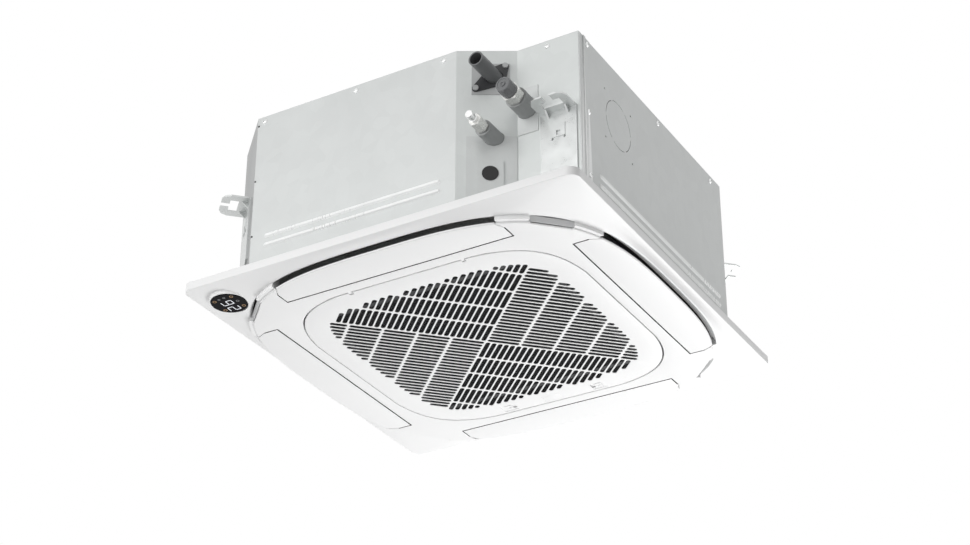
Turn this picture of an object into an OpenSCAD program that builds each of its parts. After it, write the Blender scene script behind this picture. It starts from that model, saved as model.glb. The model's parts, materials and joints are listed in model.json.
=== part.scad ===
// Ceiling cassette air conditioner, four-way compact size.
// Origin: centre of the panel on the finished ceiling plane. +Z is up.
// The pipe side faces -Y, the fresh-air side faces +X.

/* [Casing] */
// Side of the square sheet-metal casing
casing_side = 570; // [540:1:690]
// Height of the casing above the ceiling plane
casing_h = 260; // [250:1:340]
// Thickness of the galvanised sheet
sheet_t = 1; // [0.8:0.1:1.6]
// Leg of the three cut-off corners
corner_cut = 70.5; // [60:0.5:80]
// Thickness of the insulating foam on the inner walls
liner_t = 14; // [8:0.5:16]

/* [Pipe corner] */
// Width of the pocket that carries the corner hanger
pocket_w = 94.5; // [90:0.5:105]
// Depth of the pocket behind the pipe side
pocket_d = 41.6; // [36:0.2:44]
// Run of the slanted pipe face along the pipe side
slant_w = 72.3; // [70:0.1:80]
// Radius of the drain tube
drain_r = 11; // [8:0.5:12.5]
// Radius of the gas pipe
gas_r = 6.35; // [4.75:0.05:8]
// Radius of the liquid pipe
liquid_r = 3.175; // [3:0.025:4.8]

/* [Hangers] */
// Width of a hanger tongue
hanger_w = 54.5; // [48:0.5:60]
// Reach of a hanger tongue from the casing
hanger_reach = 40; // [36:1:46]
// Height of the hanger tongues above the ceiling plane
hanger_z = 140.6; // [110:0.2:160]
// Width of the slot mouth for the threaded rod
rod_slot_w = 11.5; // [10.5:0.1:13]

/* [Panel] */
// Overhang of the panel past the casing on each side
panel_overhang = 25; // [20:1:60]
// Height of the vertical rim of the panel
rim_h = 12.4; // [8:0.2:16]
// Depth of the flat centre face below the ceiling plane
face_drop = 30; // [28:0.5:40]
// Width of the ring slit between centre face and frame
slit_w = 6; // [4:0.5:9]
// Wall of the panel mouldings
wall_t = 2.5; // [2:0.1:3]

/* [Louvres] */
// Width of each air outlet
outlet_w = 32; // [24:0.5:36]
// Thickness of a louvre blade
louvre_t = 3; // [2.4:0.1:3.6]
// Radius of the louvre pins
louvre_pin_r = 1.5; // [1.2:0.05:2]

/* [Intake grille] */
// Spacing of the grille slots
slot_pitch = 9.2; // [8:0.1:14]
// Width of a grille slot
slot_w = 5.8; // [4:0.1:6.4]
// Length of a slot cell between two cross webs
slot_cell = 50; // [30:1:80]
// Thickness of the grille plate
grille_t = 3; // [2.6:0.1:3.6]
// Thickness of the bars between the slots
bar_t = 1.2; // [1:0.1:2]
// Radius of the grille hinge pins
hinge_pin_r = 0.9; // [0.8:0.05:1]

/* [Fan and coil] */
// Number of fan blades
blade_count = 7; // [5:1:9]
// Depth of the coil in the direction of the air
coil_t = 32.5; // [26:0.5:36]
// Radius of the fan motor
motor_r = 56; // [46:1:64]
// Radius of the motor shaft
shaft_r = 5; // [4:0.25:6]

/* [Hidden] */

// Clearances
over = 1;                 // overrun of cuts
seat_gap = 0.3;           // gap between pieces that sit loosely together
run_gap = 0.05;           // radial gap of a running fit
slip_gap = 0.5;           // side gap of sliding pieces

// Casing
half = casing_side / 2;
wall_h = casing_h - sheet_t;
outline = [
    [-half + corner_cut, -half],
    [half - pocket_w - slant_w, -half],
    [half - pocket_w, -half + pocket_d],
    [half, -half + pocket_d],
    [half, half - corner_cut],
    [half - corner_cut, half],
    [-half + corner_cut, half],
    [-half, half - corner_cut],
    [-half, -half + corner_cut]
];
bead_w = 7;               // pressed stiffening bead
bead_h = 2;
bead_low_z = 41.3;
bead_step = 14.8;
bead_margin = 23;
screw_head_r = 4;
screw_head_h = 2.4;
screw_r = 1.9;
screw_edge = 9;           // screw line below the top of the casing
flange_w = 30.5;          // folded edge on the pocket side
flange_t = 1.2;

// Fresh-air knock-out
knock_r = 37.5;
knock_y = -128.5;
knock_z = 170.6;
knock_slit = 1;
knock_tab = 6;
knock_pcd = 112.3;
knock_hole_r = 1.5;
knock_tabs = 6;

// Airflow layout, from the outside in
duct_out = half - sheet_t - liner_t;
duct_in = duct_out - outlet_w;
pan_wall = 10.5;
coil_out = duct_in - pan_wall;
coil_in = coil_out - coil_t;
coil_corner_r = 62;
coil_margin = 105;        // from the casing side to the coil's open ends
coil_base = 20;
coil_top_gap = 16;
coil_h = casing_h - sheet_t - coil_base - coil_top_gap;
end_plate_t = 1.2;
bend_r = 10.5;
tube_r = 4.75;
tube_rows = 8;
fan_air_gap = 30;
fan_r = coil_in - fan_air_gap;

// Panel and centre face
panel_half = half + panel_overhang;
panel_corner_r = 15;
rim_slope_w = 10;
lip_a = panel_half - rim_slope_w;
lip_n = 3.2;
lip_drop = 21.8;
disc_a = lip_a - slit_w;
collar_n = 4.5;
collar_a = duct_out + 1.5 * sheet_t;
side_steps = 8;
arc_steps = 6;
fan_out_angle = 36;       // polar angle where the side points of the lip end
rim_angle = atan2(panel_half - panel_corner_r, panel_half);

// Louvre layout
platform_setback = 1.4;
platform_edge = duct_in - platform_setback;
louvre_gap = 1.9;
louvre_in = platform_edge + louvre_gap;
louvre_margin = 106;      // from the casing side to a louvre end
louvre_half = half - louvre_margin;
louvre_end_gap = 1.5;
louvre_window = louvre_half + louvre_end_gap;
louvre_shoulder = 24;     // straight part of a louvre end
louvre_taper = 7;
pivot_inset = 2.5;
pivot_rise = 3.5;
pivot_y = louvre_in + pivot_inset;
pivot_z = pivot_rise - face_drop;
spine_r = 2.9;
louvre_step = 1;
cheek_t = 4;
cheek_h = 15;
cheek_len = 14;
pin_len = 5;
louvre_motor_r = 9.6;
louvre_motor_len = 17;
louvre_motor_offset = 9;
louvre_motor_gap = 1.6;

// Corner outlets
notch_depth = 11.6;
notch_half = 29;
notch_flare = 2;
lip_diag = lip_a * sqrt(2) * pow(2, -1 / lip_n);
notch_in = lip_diag - notch_depth;
vane_t = 1.8;
vane_h = 8.5;
vane_angle = 20;
bridge_inset = 9;
bridge_gap = 2;
bridge_reach = 1;
bridge_top = 3;

// Grille layout
strip_w = 18.1;           // strip of centre face between grille and louvres
seam = 1.9;
grille_a = platform_edge - strip_w - seam;
grille_n = 4.1;
border_w = 31;
border_a = grille_a - border_w;
border_n = 4.8;
field_edge = 1.5;         // thinned field past the slots
web_half = 1.7;
grille_step = 0.8;
hinge_inset = 1.9;
hinge_rise = 1.6;
hinge_x = 90;
hinge_y = -(grille_a - hinge_inset);
hinge_z = hinge_rise - face_drop;
ear_w = 5;
ear_r = 1.5;
barrel_r = 1.6;
barrel_w = 5;
skirt_t = 1.6;
skirt_h = 5;
skirt_inset = 6;
latch_x = 76;
latch_y_in = 4;           // latch pocket to the grille edge
latch_pocket = [24, 20];
latch_pocket_d = 1.2;
latch_button = [11, 11];
latch_travel = 6;
latch_plate = [26, 17];
latch_plate_t = 1.6;
dimple_r = 3.6;

// Filter
filter_w = 356;
filter_d = 340;
filter_h = 5;
filter_rim = 9;
filter_rib = 3;
filter_lift = 2;
filter_shift = 6;

facets = 48;

function se_point(a, n, ang) =
    a * pow(pow(abs(cos(ang)), n) + pow(abs(sin(ang)), n), -1 / n) * [cos(ang), sin(ang)];
function se_outline(a, n, count) = [for (i = [0 : count - 1]) se_point(a, n, 360 * i / count)];
// The same with its sides pressed flat
flat_share = 1.012;
function clamped(v, a) = max(-a, min(a, v));
function flat_outline(a, n, count) = [for (p = se_outline(a * flat_share, n, count)) [clamped(p.x, a), clamped(p.y, a)]];
function se_y(a, n, x) = pow(pow(a, n) - pow(abs(x), n), 1 / n);

// Mitred inset of a counterclockwise outline
function unit(v) = v / norm(v);
function inward(p, q) = let (d = unit(q - p)) [-d.y, d.x];
function inset_outline(pts, d) = let (m = len(pts)) [
    for (i = [0 : m - 1])
        let (a = inward(pts[(i + m - 1) % m], pts[i]), b = inward(pts[i], pts[(i + 1) % m]))
            pts[i] + d * (a + b) / (1 + a * b)
];

// Strip of sheet along the outline from corner i to corner j
module wall_strip(i, j, h) {
    inner = inset_outline(outline, sheet_t);
    m = len(outline);
    linear_extrude(h)
        polygon(concat(
            [for (k = [i : j]) outline[k % m]],
            [for (k = [j : -1 : i]) inner[k % m]]));
}

// Places children on the outline's face i, a distance s along it and z up, with +Z outwards
module on_face(i, s, z) {
    p = outline[i];
    q = outline[(i + 1) % len(outline)];
    a = atan2(q.y - p.y, q.x - p.x);
    translate([p.x + s * cos(a), p.y + s * sin(a), z]) rotate([90, 0, a]) children();
}

function face_len(i) = norm(outline[(i + 1) % len(outline)] - outline[i]);

// Screw places as [face, distance along it, height]
function top_row(i, list) = [for (s = list) [i, s, casing_h - screw_edge]];
knock_margin = 24;        // screw line on the folded edge beside the pocket
screw_shares = [0.035, 0.505, 0.94];
side_screws = concat(
    top_row(0, [for (k = screw_shares) k * face_len(0)]),
    [[2, face_len(2) / 2, casing_h - screw_edge]],
    [[3, knock_margin, casing_h - screw_edge]],
    [for (k = [0.535, 0.925]) [3, k * face_len(3), casing_h - screw_edge]],
    [for (k = [0.155, 0.54]) [3, knock_margin, k * casing_h]],
    top_row(5, [for (k = screw_shares) k * face_len(5)]),
    top_row(7, [for (k = screw_shares) k * face_len(7)]));

module screw_holes(face) {
    for (p = side_screws)
        if (p[0] == face)
            on_face(p[0], p[1], p[2])
                translate([0, 0, -sheet_t - over])
                    cylinder(r = screw_r + run_gap, h = sheet_t + flange_t + 3 * over, $fn = facets);
}

// Screws on the folded edge sit one sheet higher
function screw_lift(p) = p[0] == 3 && p[1] == knock_margin ? flange_t : 0;

// Pressed bead with drafted edges
module bead(length, w = bead_w) {
    x = (length - 2 * bead_h) / length;
    y = (w - 2 * bead_h) / w;
    linear_extrude(bead_h, scale = [x, y])
        union() {
            square([length - w, w], center = true);
            for (s = [-1, 1]) translate([s * (length - w) / 2, 0]) circle(d = w, $fn = 16);
        }
}

module side_beads(i, first = bead_margin) {
    n = face_len(i) - first - bead_margin;
    for (k = [0, 1])
        on_face(i, first + n / 2, bead_low_z + k * bead_step) bead(n);
}

// Casing sheets

module top_plate() {
    color("silver") {
        difference() {
            translate([0, 0, wall_h]) linear_extrude(sheet_t) polygon(outline);
            for (i = [0 : motor_bolts - 1])
                rotate([0, 0, 45 + 360 * i / motor_bolts])
                    translate([motor_bolt_pcr, 0, wall_h - over])
                        cylinder(r = motor_bolt_r, h = sheet_t + 2 * over, $fn = facets);
        }
        for (s = [-1, 1])
            translate([s * top_bead_x, 0, casing_h])
                rotate([0, 0, 90]) bead(casing_side - 2 * corner_cut - 2 * bead_margin, 2 * bead_w);
    }
}
motor_bolts = 4;
motor_bolt_pcr = motor_r + 14;
motor_bolt_r = 3;
top_bead_x = motor_bolt_pcr + 60;

module front_panel() {
    color("gainsboro") difference() {
        union() {
            wall_strip(0, 1, wall_h);
            side_beads(0);
        }
        screw_holes(0);
        for (k = [0.235, 0.585, 0.947])
            translate([-half + corner_cut, -half, k * casing_h])
                cube([2 * notch_tab, 2 * notch_tab, notch_tab], center = true);
    }
}
notch_tab = 3;

module pipe_corner_panel() {
    color("gainsboro") difference() {
        wall_strip(1, 3, wall_h);
        screw_holes(2);
        pipe_passages();
    }
}
slant_angle = atan2(pocket_d, slant_w);
// Pipe layout: x places of the three connections, all along -Y
drain_x = half - 121;
drain_z = casing_h - 44.9;
gas_x = half - 79;
gas_z = casing_h - 101.9;
liquid_x = half - 122;
liquid_z = casing_h - 143.9;
gas_sleeve_r = 15.5;
liquid_sleeve_r = 12;
drain_s = (drain_x - outline[1].x) / cos(slant_angle);
liquid_s = (liquid_x - outline[1].x) / cos(slant_angle);
gas_s = gas_x - outline[2].x;
function slant_y(x) = outline[1].y + (x - outline[1].x) * tan(slant_angle);

module right_panel() {
    color("gainsboro") difference() {
        union() {
            wall_strip(3, 4, wall_h);
            side_beads(3, flange_w + bead_margin);
            on_face(3, 0, 0) translate([flange_lap, 0, 0]) cube([flange_w, wall_h, flange_t]);
            on_face(3, 0, 0) translate([flange_rib_in, 0, flange_t]) cube([flange_rib, wall_h, flange_t]);
        }
        screw_holes(3);
        on_face(3, knock_s, knock_z) translate([0, 0, -sheet_t - over]) {
            cylinder(r = knock_r, h = sheet_t + 2 * over, $fn = facets);
            for (i = [0 : 3])
                rotate([0, 0, 45 + 90 * i]) translate([knock_pcd / 2, 0, 0])
                    cylinder(r = knock_hole_r, h = sheet_t + 2 * over, $fn = facets);
        }
    }
}
knock_s = knock_y - outline[3].y;
flange_lap = 0.5;
flange_rib = 6;
flange_rib_in = 11;

// Disc held by break-off tabs in the fresh-air hole
module knockout_disc() {
    color("silver") on_face(3, knock_s, knock_z) translate([0, 0, -sheet_t]) {
        cylinder(r = knock_r - knock_slit, h = sheet_t, $fn = facets);
        intersection() {
            cylinder(r = knock_r, h = sheet_t, $fn = facets);
            for (i = [0 : knock_tabs - 1])
                rotate([0, 0, 360 * i / knock_tabs])
                    translate([knock_r - 2 * knock_slit, -knock_tab / 2, 0])
                        cube([2 * knock_slit + over, knock_tab, sheet_t]);
        }
    }
}

module rear_panel() {
    color("gainsboro") difference() {
        union() {
            wall_strip(5, 6, wall_h);
            side_beads(5);
        }
        screw_holes(5);
    }
}

module left_panel() {
    color("gainsboro") difference() {
        union() {
            wall_strip(7, 8, wall_h);
            side_beads(7);
        }
        screw_holes(7);
    }
}

module corner_plates() {
    color("darkgray") {
        wall_strip(4, 5, wall_h);
        wall_strip(6, 7, wall_h);
        wall_strip(8, 9, wall_h);
    }
}

// Hanger with a keyhole slot for the threaded rod
hanger_t = 2.5;
hanger_drop = 110;
hanger_bend_r = 4;
hanger_corner_r = 12;
rod_slot_y = 21.5;
rod_pocket = [30, 12.5];
gusset_h = 9;
gusset_share = 0.54;
lance = 20;               // lanced square on the upright plate
lance_drop = 34;
lance_rise = 1;
lance_hole_r = 1.8;
lance_tongue = [6, 7];
module hanger() {
    // upright plate on the casing
    difference() {
        union() {
            hanger_plate();
            translate([-lance / 2, -hanger_t - lance_rise, hanger_z - lance_drop - lance / 2])
                cube([lance, lance_rise + over, lance]);
        }
        for (s = [-1, 1])
            translate([s * (lance / 2 - lance_hole_r / 2), over, hanger_z - lance_drop - lance / 2 - lance_hole_r])
                rotate([90, 0, 0]) cylinder(r = lance_hole_r, h = hanger_t + lance_rise + 2 * over, $fn = facets);
        translate([-lance_tongue.x / 2, -hanger_t - lance_rise - over, hanger_z - lance_drop - lance_tongue.y])
            cube([lance_tongue.x, hanger_t / 2 + lance_rise + over, lance_tongue.y]);
    }
    hanger_tongue();
}

module hanger_plate() {
    translate([-hanger_w / 2, -hanger_t, hanger_z - hanger_drop])
        difference() {
            cube([hanger_w, hanger_t, hanger_drop]);
            for (s = [0, 1])
                translate([s * hanger_w, hanger_t / 2, 0])
                    rotate([0, 45, 0]) cube([hanger_corner_r, 2 * hanger_t, hanger_corner_r], center = true);
        }
}

// Tongue with the slot, and gussets pressed across the bend
module hanger_tongue() {
    translate([0, 0, hanger_z - hanger_t]) linear_extrude(hanger_t) difference() {
        polygon([
            [-hanger_w / 2, 0], [-hanger_w / 2, -hanger_reach + hanger_corner_r],
            [-hanger_w / 2 + hanger_corner_r / 3, -hanger_reach + hanger_corner_r / 3],
            [-hanger_w / 2 + hanger_corner_r, -hanger_reach],
            [hanger_w / 2 - hanger_corner_r, -hanger_reach],
            [hanger_w / 2 - hanger_corner_r / 3, -hanger_reach + hanger_corner_r / 3],
            [hanger_w / 2, -hanger_reach + hanger_corner_r], [hanger_w / 2, 0]]);
        translate([0, -rod_slot_y]) square(rod_pocket, center = true);
        translate([-rod_slot_w / 2, -hanger_reach - over])
            square([rod_slot_w, hanger_reach - rod_slot_y + over]);
    }
    for (s = [-1, 1])
        translate([s * hanger_w * gusset_share / 2 - hanger_t / 2, -hanger_t, hanger_z - hanger_t])
            rotate([0, 90, 0]) linear_extrude(hanger_t)
                polygon([[0, 0], [gusset_h, 0], [0, -gusset_h]]);
}

hanger_side = 31.3;       // centre of the corner hanger from the casing side
hanger_c_x = half - hanger_side;
module hanger_brackets() {
    color("lightgray") {
        translate([hanger_c_x, outline[2].y, 0]) hanger();
        for (a = [-45, -135, 135])
            rotate([0, 0, a]) translate([0, -chamfer_dist, 0]) hanger();
    }
}
chamfer_dist = (2 * half - corner_cut) / sqrt(2);
rod_dist = chamfer_dist + rod_slot_y;

module casing_screws() {
    color("silver")
        for (p = side_screws)
            on_face(p[0], p[1], p[2]) casing_screw(screw_lift(p));
}

module casing_screw(lift) {
    translate([0, 0, -sheet_t]) cylinder(r = screw_r, h = sheet_t + lift, $fn = facets);
    translate([0, 0, lift]) difference() {
        cylinder(r = screw_head_r, h = screw_head_h, $fn = facets);
        for (a = [0, 90])
            rotate([0, 0, a]) translate([0, 0, screw_head_h])
                cube([screw_head_r, screw_r / 2, screw_head_h], center = true);
    }
}

// Pipes and their covers

cover_t = 1.2;
cover_gap = 1;
drain_cover = [52, 51];
drain_cover_in = 21;
drain_cover_drop = 28.5;
flange_ear_r = 5;
flange_ear_low = [-26.3, -19.5];
flange_ear_high = [14.1, 17.5];
flange_body_r = 15.5;
drain_flange_t = 2;
lower_cover_in = 14;
lower_cover_low = 10;
lower_cover_top = 2.5;
hatch = [36, 60];
hatch_in = 28.5;
hatch_low = 18.6;
hatch_h = 2;
hatch_plug_r = 11.2;
hatch_plug_h = 1;
gas_cover = [31, 74];

// Removes the pipe passages from what surrounds them
module along_pipe(x, z, y0, y1, r) {
    translate([x, y1, z]) rotate([90, 0, 0]) cylinder(r = r, h = y1 - y0, $fn = facets);
}

module drain_cover_plate() {
    color("gainsboro") difference() {
        on_face(1, drain_cover_in, drain_z - drain_cover_drop) cube([drain_cover.x, drain_cover.y, cover_t]);
        along_pipe(drain_x, drain_z, -casing_side, 0, drain_r + slip_gap);
    }
    color("silver")
        for (e = [flange_ear_low, flange_ear_high])
            on_face(1, drain_s + e.x, drain_z + e.y)
                translate([0, 0, cover_t + drain_flange_t])
                    cylinder(r = screw_head_r, h = screw_head_h, $fn = facets);
}

module drain_flange() {
    color("dimgray") difference() {
        on_face(1, drain_s, drain_z) translate([0, 0, cover_t])
            linear_extrude(drain_flange_t) hull() {
                circle(r = flange_body_r, $fn = 32);
                for (e = [flange_ear_low, flange_ear_high]) translate(e) circle(r = flange_ear_r, $fn = 24);
            }
        along_pipe(drain_x, drain_z, -casing_side, 0, drain_r + seat_gap);
    }
}

module pipe_cover_plate() {
    color("gainsboro") difference() {
        union() {
            on_face(1, lower_cover_in, lower_cover_low)
                cube([face_len(1) - lower_cover_in - cover_gap, liquid_z + lower_cover_top - lower_cover_low, cover_t]);
            on_face(1, hatch_in, hatch_low) translate([0, 0, cover_t]) cube([hatch.x, hatch.y, hatch_h]);
            on_face(1, hatch_in + hatch.x / 2, hatch_low + hatch.y * 2 / 3) translate([0, 0, cover_t + hatch_h])
                cylinder(r = hatch_plug_r, h = hatch_plug_h, $fn = facets);
            on_face(2, cover_gap, liquid_z + lower_cover_top) cube([gas_cover.x, gas_cover.y, cover_t]);
        }
        along_pipe(liquid_x, liquid_z, -casing_side, 0, liquid_sleeve_r + slip_gap);
        along_pipe(gas_x, gas_z, -casing_side, 0, gas_sleeve_r + slip_gap);
    }
}

pipe_end = half + 26;     // reach of the drain tube past the origin
drain_wall = 2;
drain_free = 36;          // length of the tube that a hose slides onto
drain_neck = 0.5;         // the tube is this much thinner inside the covers
drain_in = half - 46;
gas_sleeve_end = half - 9;
gas_nut_af = 25;
gas_nut_h = 16;
gas_cap_r = 11.7;
gas_cap_h = 20;
liquid_sleeve_end = half + 4;
liquid_nut_af = 17;
liquid_nut_h = 22;
liquid_cap_r = 5.75;
liquid_cap_h = 15;
sleeve_in = half - 56;
nut_seat = 1;
pipe_in_nut = 5;
header_r = 9;
header_y = -(half - 135);
distributor_r = 7;
distributor_x = half - 143;
distributor_y = -(coil_out + coil_in) / 2;
liquid_bend_r = 14;
liquid_bend_x = liquid_x - liquid_bend_r;
liquid_bend_y = distributor_y - liquid_bend_r;

module drain_tube() {
    color("dimgray") difference() {
        union() {
            along_pipe(drain_x, drain_z, -pipe_end, -pipe_end + drain_free, drain_r);
            along_pipe(drain_x, drain_z, -pipe_end + drain_free / 2, -drain_in, drain_r - drain_neck);
        }
        along_pipe(drain_x, drain_z, -pipe_end - over, -drain_in + over, drain_r - drain_wall);
    }
}

module gas_pipe() {
    color("peru") difference() {
        along_pipe(gas_x, gas_z, -gas_sleeve_end - nut_seat - pipe_in_nut, header_y, gas_r);
        translate([gas_x, header_y, 0]) cylinder(r = header_r, h = casing_h, $fn = facets);
    }
}

module liquid_pipe() {
    color("peru") {
        along_pipe(liquid_x, liquid_z, -liquid_sleeve_end - nut_seat - pipe_in_nut, liquid_bend_y, liquid_r);
        translate([liquid_bend_x, liquid_bend_y, liquid_z])
            rotate_extrude(angle = 90, $fn = facets) translate([liquid_bend_r, 0]) circle(r = liquid_r, $fn = facets);
    }
}

module pipe_sleeves() {
    color("gray") {
        difference() {
            along_pipe(gas_x, gas_z, -gas_sleeve_end, -sleeve_in, gas_sleeve_r);
            along_pipe(gas_x, gas_z, -casing_side, 0, gas_r + run_gap);
        }
        difference() {
            along_pipe(liquid_x, liquid_z, -liquid_sleeve_end, -sleeve_in - 2 * sheet_t, liquid_sleeve_r);
            along_pipe(liquid_x, liquid_z, -casing_side, 0, liquid_r + run_gap);
        }
    }
}

nut_chamfer_share = 0.12;
module flare_nut(af, h, bore) {
    r = af / sqrt(3);
    difference() {
        intersection() {
            cylinder(r = r, h = h, $fn = 6);
            rotate_extrude($fn = facets)
                polygon([
                    [0, 0], [af / 2, 0], [r, r * nut_chamfer_share],
                    [r, h - r * nut_chamfer_share], [af / 2, h], [0, h]]);
        }
        translate([0, 0, -over]) cylinder(r = bore, h = h + 2 * over, $fn = facets);
    }
}

module flare_nuts() {
    color("lightgray") {
        translate([gas_x, -gas_sleeve_end - nut_seat, gas_z]) rotate([90, 0, 0])
            flare_nut(gas_nut_af, gas_nut_h, gas_r + run_gap);
        translate([liquid_x, -liquid_sleeve_end - nut_seat, liquid_z]) rotate([90, 0, 0])
            flare_nut(liquid_nut_af, liquid_nut_h, liquid_r + run_gap);
    }
}

// Protective cap with a rounded end and a plug that enters the nut
cap_round_share = 0.35;
cap_plug = 4;
module pipe_cap(r, h, bore) {
    q = r * cap_round_share;
    rotate_extrude($fn = facets)
        polygon(concat(
            [[0, -cap_plug], [bore, -cap_plug], [bore, 0], [r, 0]],
            [for (a = [0 : 15 : 90]) [r - q + q * cos(a), h - q + q * sin(a)]],
            [[0, h]]));
}

module pipe_caps() {
    color("dimgray") {
        translate([gas_x, -gas_sleeve_end - nut_seat - gas_nut_h, gas_z]) rotate([90, 0, 0])
            pipe_cap(gas_cap_r, gas_cap_h, gas_r);
        translate([liquid_x, -liquid_sleeve_end - nut_seat - liquid_nut_h, liquid_z]) rotate([90, 0, 0])
            pipe_cap(liquid_cap_r, liquid_cap_h, liquid_r);
    }
}

// Foam, pan and coil

pan_h = 48;
pan_lip = 8;
trough_in = coil_in - 6;
trough_out = coil_out + 5;
pan_open = coil_in - pan_lip;
pan_open_r = coil_corner_r - coil_t - pan_lip + coil_margin / 4;
pan_rim = 14;
arc_points = 6;
coil_open = half - 165;   // where the coil stops at the pipe corner
outlet_half = louvre_half;

// Square outline with rounded corners
function rounded(a, r) = [
    for (q = [0 : 3]) for (i = [0 : arc_points])
        let (t = 90 * q + 90 * i / arc_points, s = [cos(45 + 90 * q), sin(45 + 90 * q)] * sqrt(2))
            (a - r) * s + r * [cos(t), sin(t)]
];

// Half of the coil's outline, open at the pipe corner
function coil_path(a, r) = concat(
    [[a, -coil_open]],
    [for (q = [0 : 2]) for (i = [0 : arc_points])
        let (t = 90 * q + 90 * i / arc_points, s = [cos(45 + 90 * q), sin(45 + 90 * q)] * sqrt(2))
            (a - r) * s + r * [cos(t), sin(t)]],
    [[coil_open, -a]]);
function reversed(v) = [for (i = [len(v) - 1 : -1 : 0]) v[i]];

module pipe_passages() {
    along_pipe(drain_x, drain_z, -casing_side, -coil_in, drain_r + slip_gap);
    along_pipe(gas_x, gas_z, -casing_side, -coil_in, gas_sleeve_r + slip_gap);
    along_pipe(liquid_x, liquid_z, -casing_side, -coil_in, liquid_sleeve_r + slip_gap);
}

module foam_liner() {
    color("dimgray") difference() {
        translate([0, 0, pan_h]) linear_extrude(wall_h - pan_h) difference() {
            polygon(inset_outline(outline, sheet_t));
            polygon(inset_outline(outline, sheet_t + liner_t));
        }
        pipe_passages();
        on_face(3, knock_s, knock_z) translate([0, 0, -2 * liner_t])
            for (i = [0 : 3])
                rotate([0, 0, 45 + 90 * i]) translate([knock_pcd / 2, 0, 0])
                    cylinder(r = 2 * knock_hole_r, h = 3 * liner_t, $fn = facets);
    }
}

module drain_pan() {
    color("white") difference() {
        linear_extrude(pan_h) difference() {
            polygon(inset_outline(outline, sheet_t));
            polygon(rounded(pan_open, pan_open_r));
            intersection() {
                union() for (a = [0 : 90 : 270])
                    rotate([0, 0, a]) translate([-outlet_half, duct_in]) square([2 * outlet_half, outlet_w]);
                polygon(inset_outline(outline, sheet_t + pan_rim));
            }
        }
        translate([0, 0, coil_base]) linear_extrude(pan_h) difference() {
            polygon(rounded(trough_out, coil_corner_r));
            polygon(rounded(trough_in, pan_open_r));
        }
        panel_screw_places() translate([0, 0, -over]) cylinder(r = screw_r + run_gap, h = panel_screw_grip + over, $fn = facets);
    }
}

module coil_fins() {
    color("silver") translate([0, 0, coil_base]) linear_extrude(coil_h)
        polygon(concat(coil_path(coil_out, coil_corner_r), reversed(coil_path(coil_in, coil_corner_r - coil_t))));
}

module coil_end_plates() {
    color("lightgray") {
        translate([coil_in, -coil_open - end_plate_t, coil_base]) cube([coil_t, end_plate_t, coil_h]);
        translate([coil_open, -coil_out, coil_base]) cube([end_plate_t, coil_t, coil_h]);
    }
}

// Return bends of the two tube rows at each end of the coil
bend_low = 22;
bend_step = 42;
bend_count = 5;
row_share = 0.26;
module coil_bends() {
    color("peru")
        for (k = [0 : bend_count - 1]) for (s = [row_share, 1 - row_share]) {
            z = coil_base + bend_low + k * bend_step;
            translate([coil_open + end_plate_t, -coil_out + s * coil_t, z])
                rotate([90, 0, 0]) return_bend();
            translate([coil_in + s * coil_t, -coil_open - end_plate_t, z])
                rotate([90, 0, -90]) return_bend();
        }
}

module return_bend() {
    rotate([0, 0, -90]) rotate_extrude(angle = 180, $fn = facets)
        translate([bend_r, 0]) circle(r = tube_r, $fn = 24);
}

stub_r = 2.4;
stub_count = 4;
header_low = 40;
header_h = 180;
distributor_h = 44;
module coil_manifold() {
    color("peru") {
        translate([gas_x, header_y, coil_base + header_low]) cylinder(r = header_r, h = header_h, $fn = facets);
        for (k = [0 : stub_count - 1])
            translate([(coil_in + coil_out) / 2, -coil_open - end_plate_t,
                       coil_base + bend_low + (k + 1) * bend_step - bend_step / 2])
                rotate([90, 0, 0])
                    cylinder(r = stub_r, h = -header_y - coil_open - end_plate_t, $fn = facets);
        translate([distributor_x, distributor_y, liquid_z - distributor_h / 2])
            cylinder(r = distributor_r, h = distributor_h, $fn = facets);
        for (k = [-1, 1])
            translate([coil_open + end_plate_t, distributor_y, liquid_z + k * distributor_h / 3])
                rotate([0, 90, 0]) cylinder(r = stub_r, h = distributor_x - coil_open - end_plate_t, $fn = facets);
    }
}

// Fan, motor and bell mouth

motor_h = 58;
motor_flange_t = 3;
motor_flange_r = motor_bolt_pcr + 11;
mount_h = 11;
mount_r = 9;
stud_r = motor_bolt_r - run_gap;
motor_top = wall_h - mount_h;
motor_low = motor_top - motor_h;
motor_round = 8;
shaft_grip = 14;
fan_top = motor_low - 9;
fan_depth = fan_top - 66;
hub_t = 2.6;
hub_boss_r = 13;
hub_boss_h = 26;
hub_dip = 30;
shroud_t = 2.4;
inlet_share = 0.775;      // radius of the fan inlet over the fan radius
blade_in_share = 0.6;
blade_sweep = 44;
blade_t = 2.4;
blade_steps = 8;
nut_af = 14;
nut_h = 6;
nut_gap = 2;
bell_gap = 5;
bell_t = 2.2;
bell_plate_t = 2;
bell_overlap = 7;
bell_half = pan_open + 16;
bell_steps = 8;
fan_inlet_r = fan_r * inlet_share;
fan_low = fan_top - fan_depth;
bell_throat_r = fan_inlet_r - bell_gap;
bell_mouth_r = fan_r + 3 * sheet_t;

module fan_motor() {
    color("dimgray") difference() {
        union() {
            translate([0, 0, motor_low]) rotate_extrude($fn = facets)
                polygon([
                    [0, 0], [motor_r - motor_round, 0], [motor_r - motor_round / 3, motor_round / 3],
                    [motor_r, motor_round], [motor_r, motor_h - motor_flange_t],
                    [motor_flange_r, motor_h - motor_flange_t], [motor_flange_r, motor_h], [0, motor_h]]);
            translate([0, 0, motor_low - motor_round / 2])
                cylinder(r = 2 * shaft_r, h = motor_round, $fn = facets);
        }
        translate([0, 0, motor_low - motor_round])
            cylinder(r = shaft_r + run_gap, h = motor_round + shaft_grip, $fn = facets);
    }
}

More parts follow.
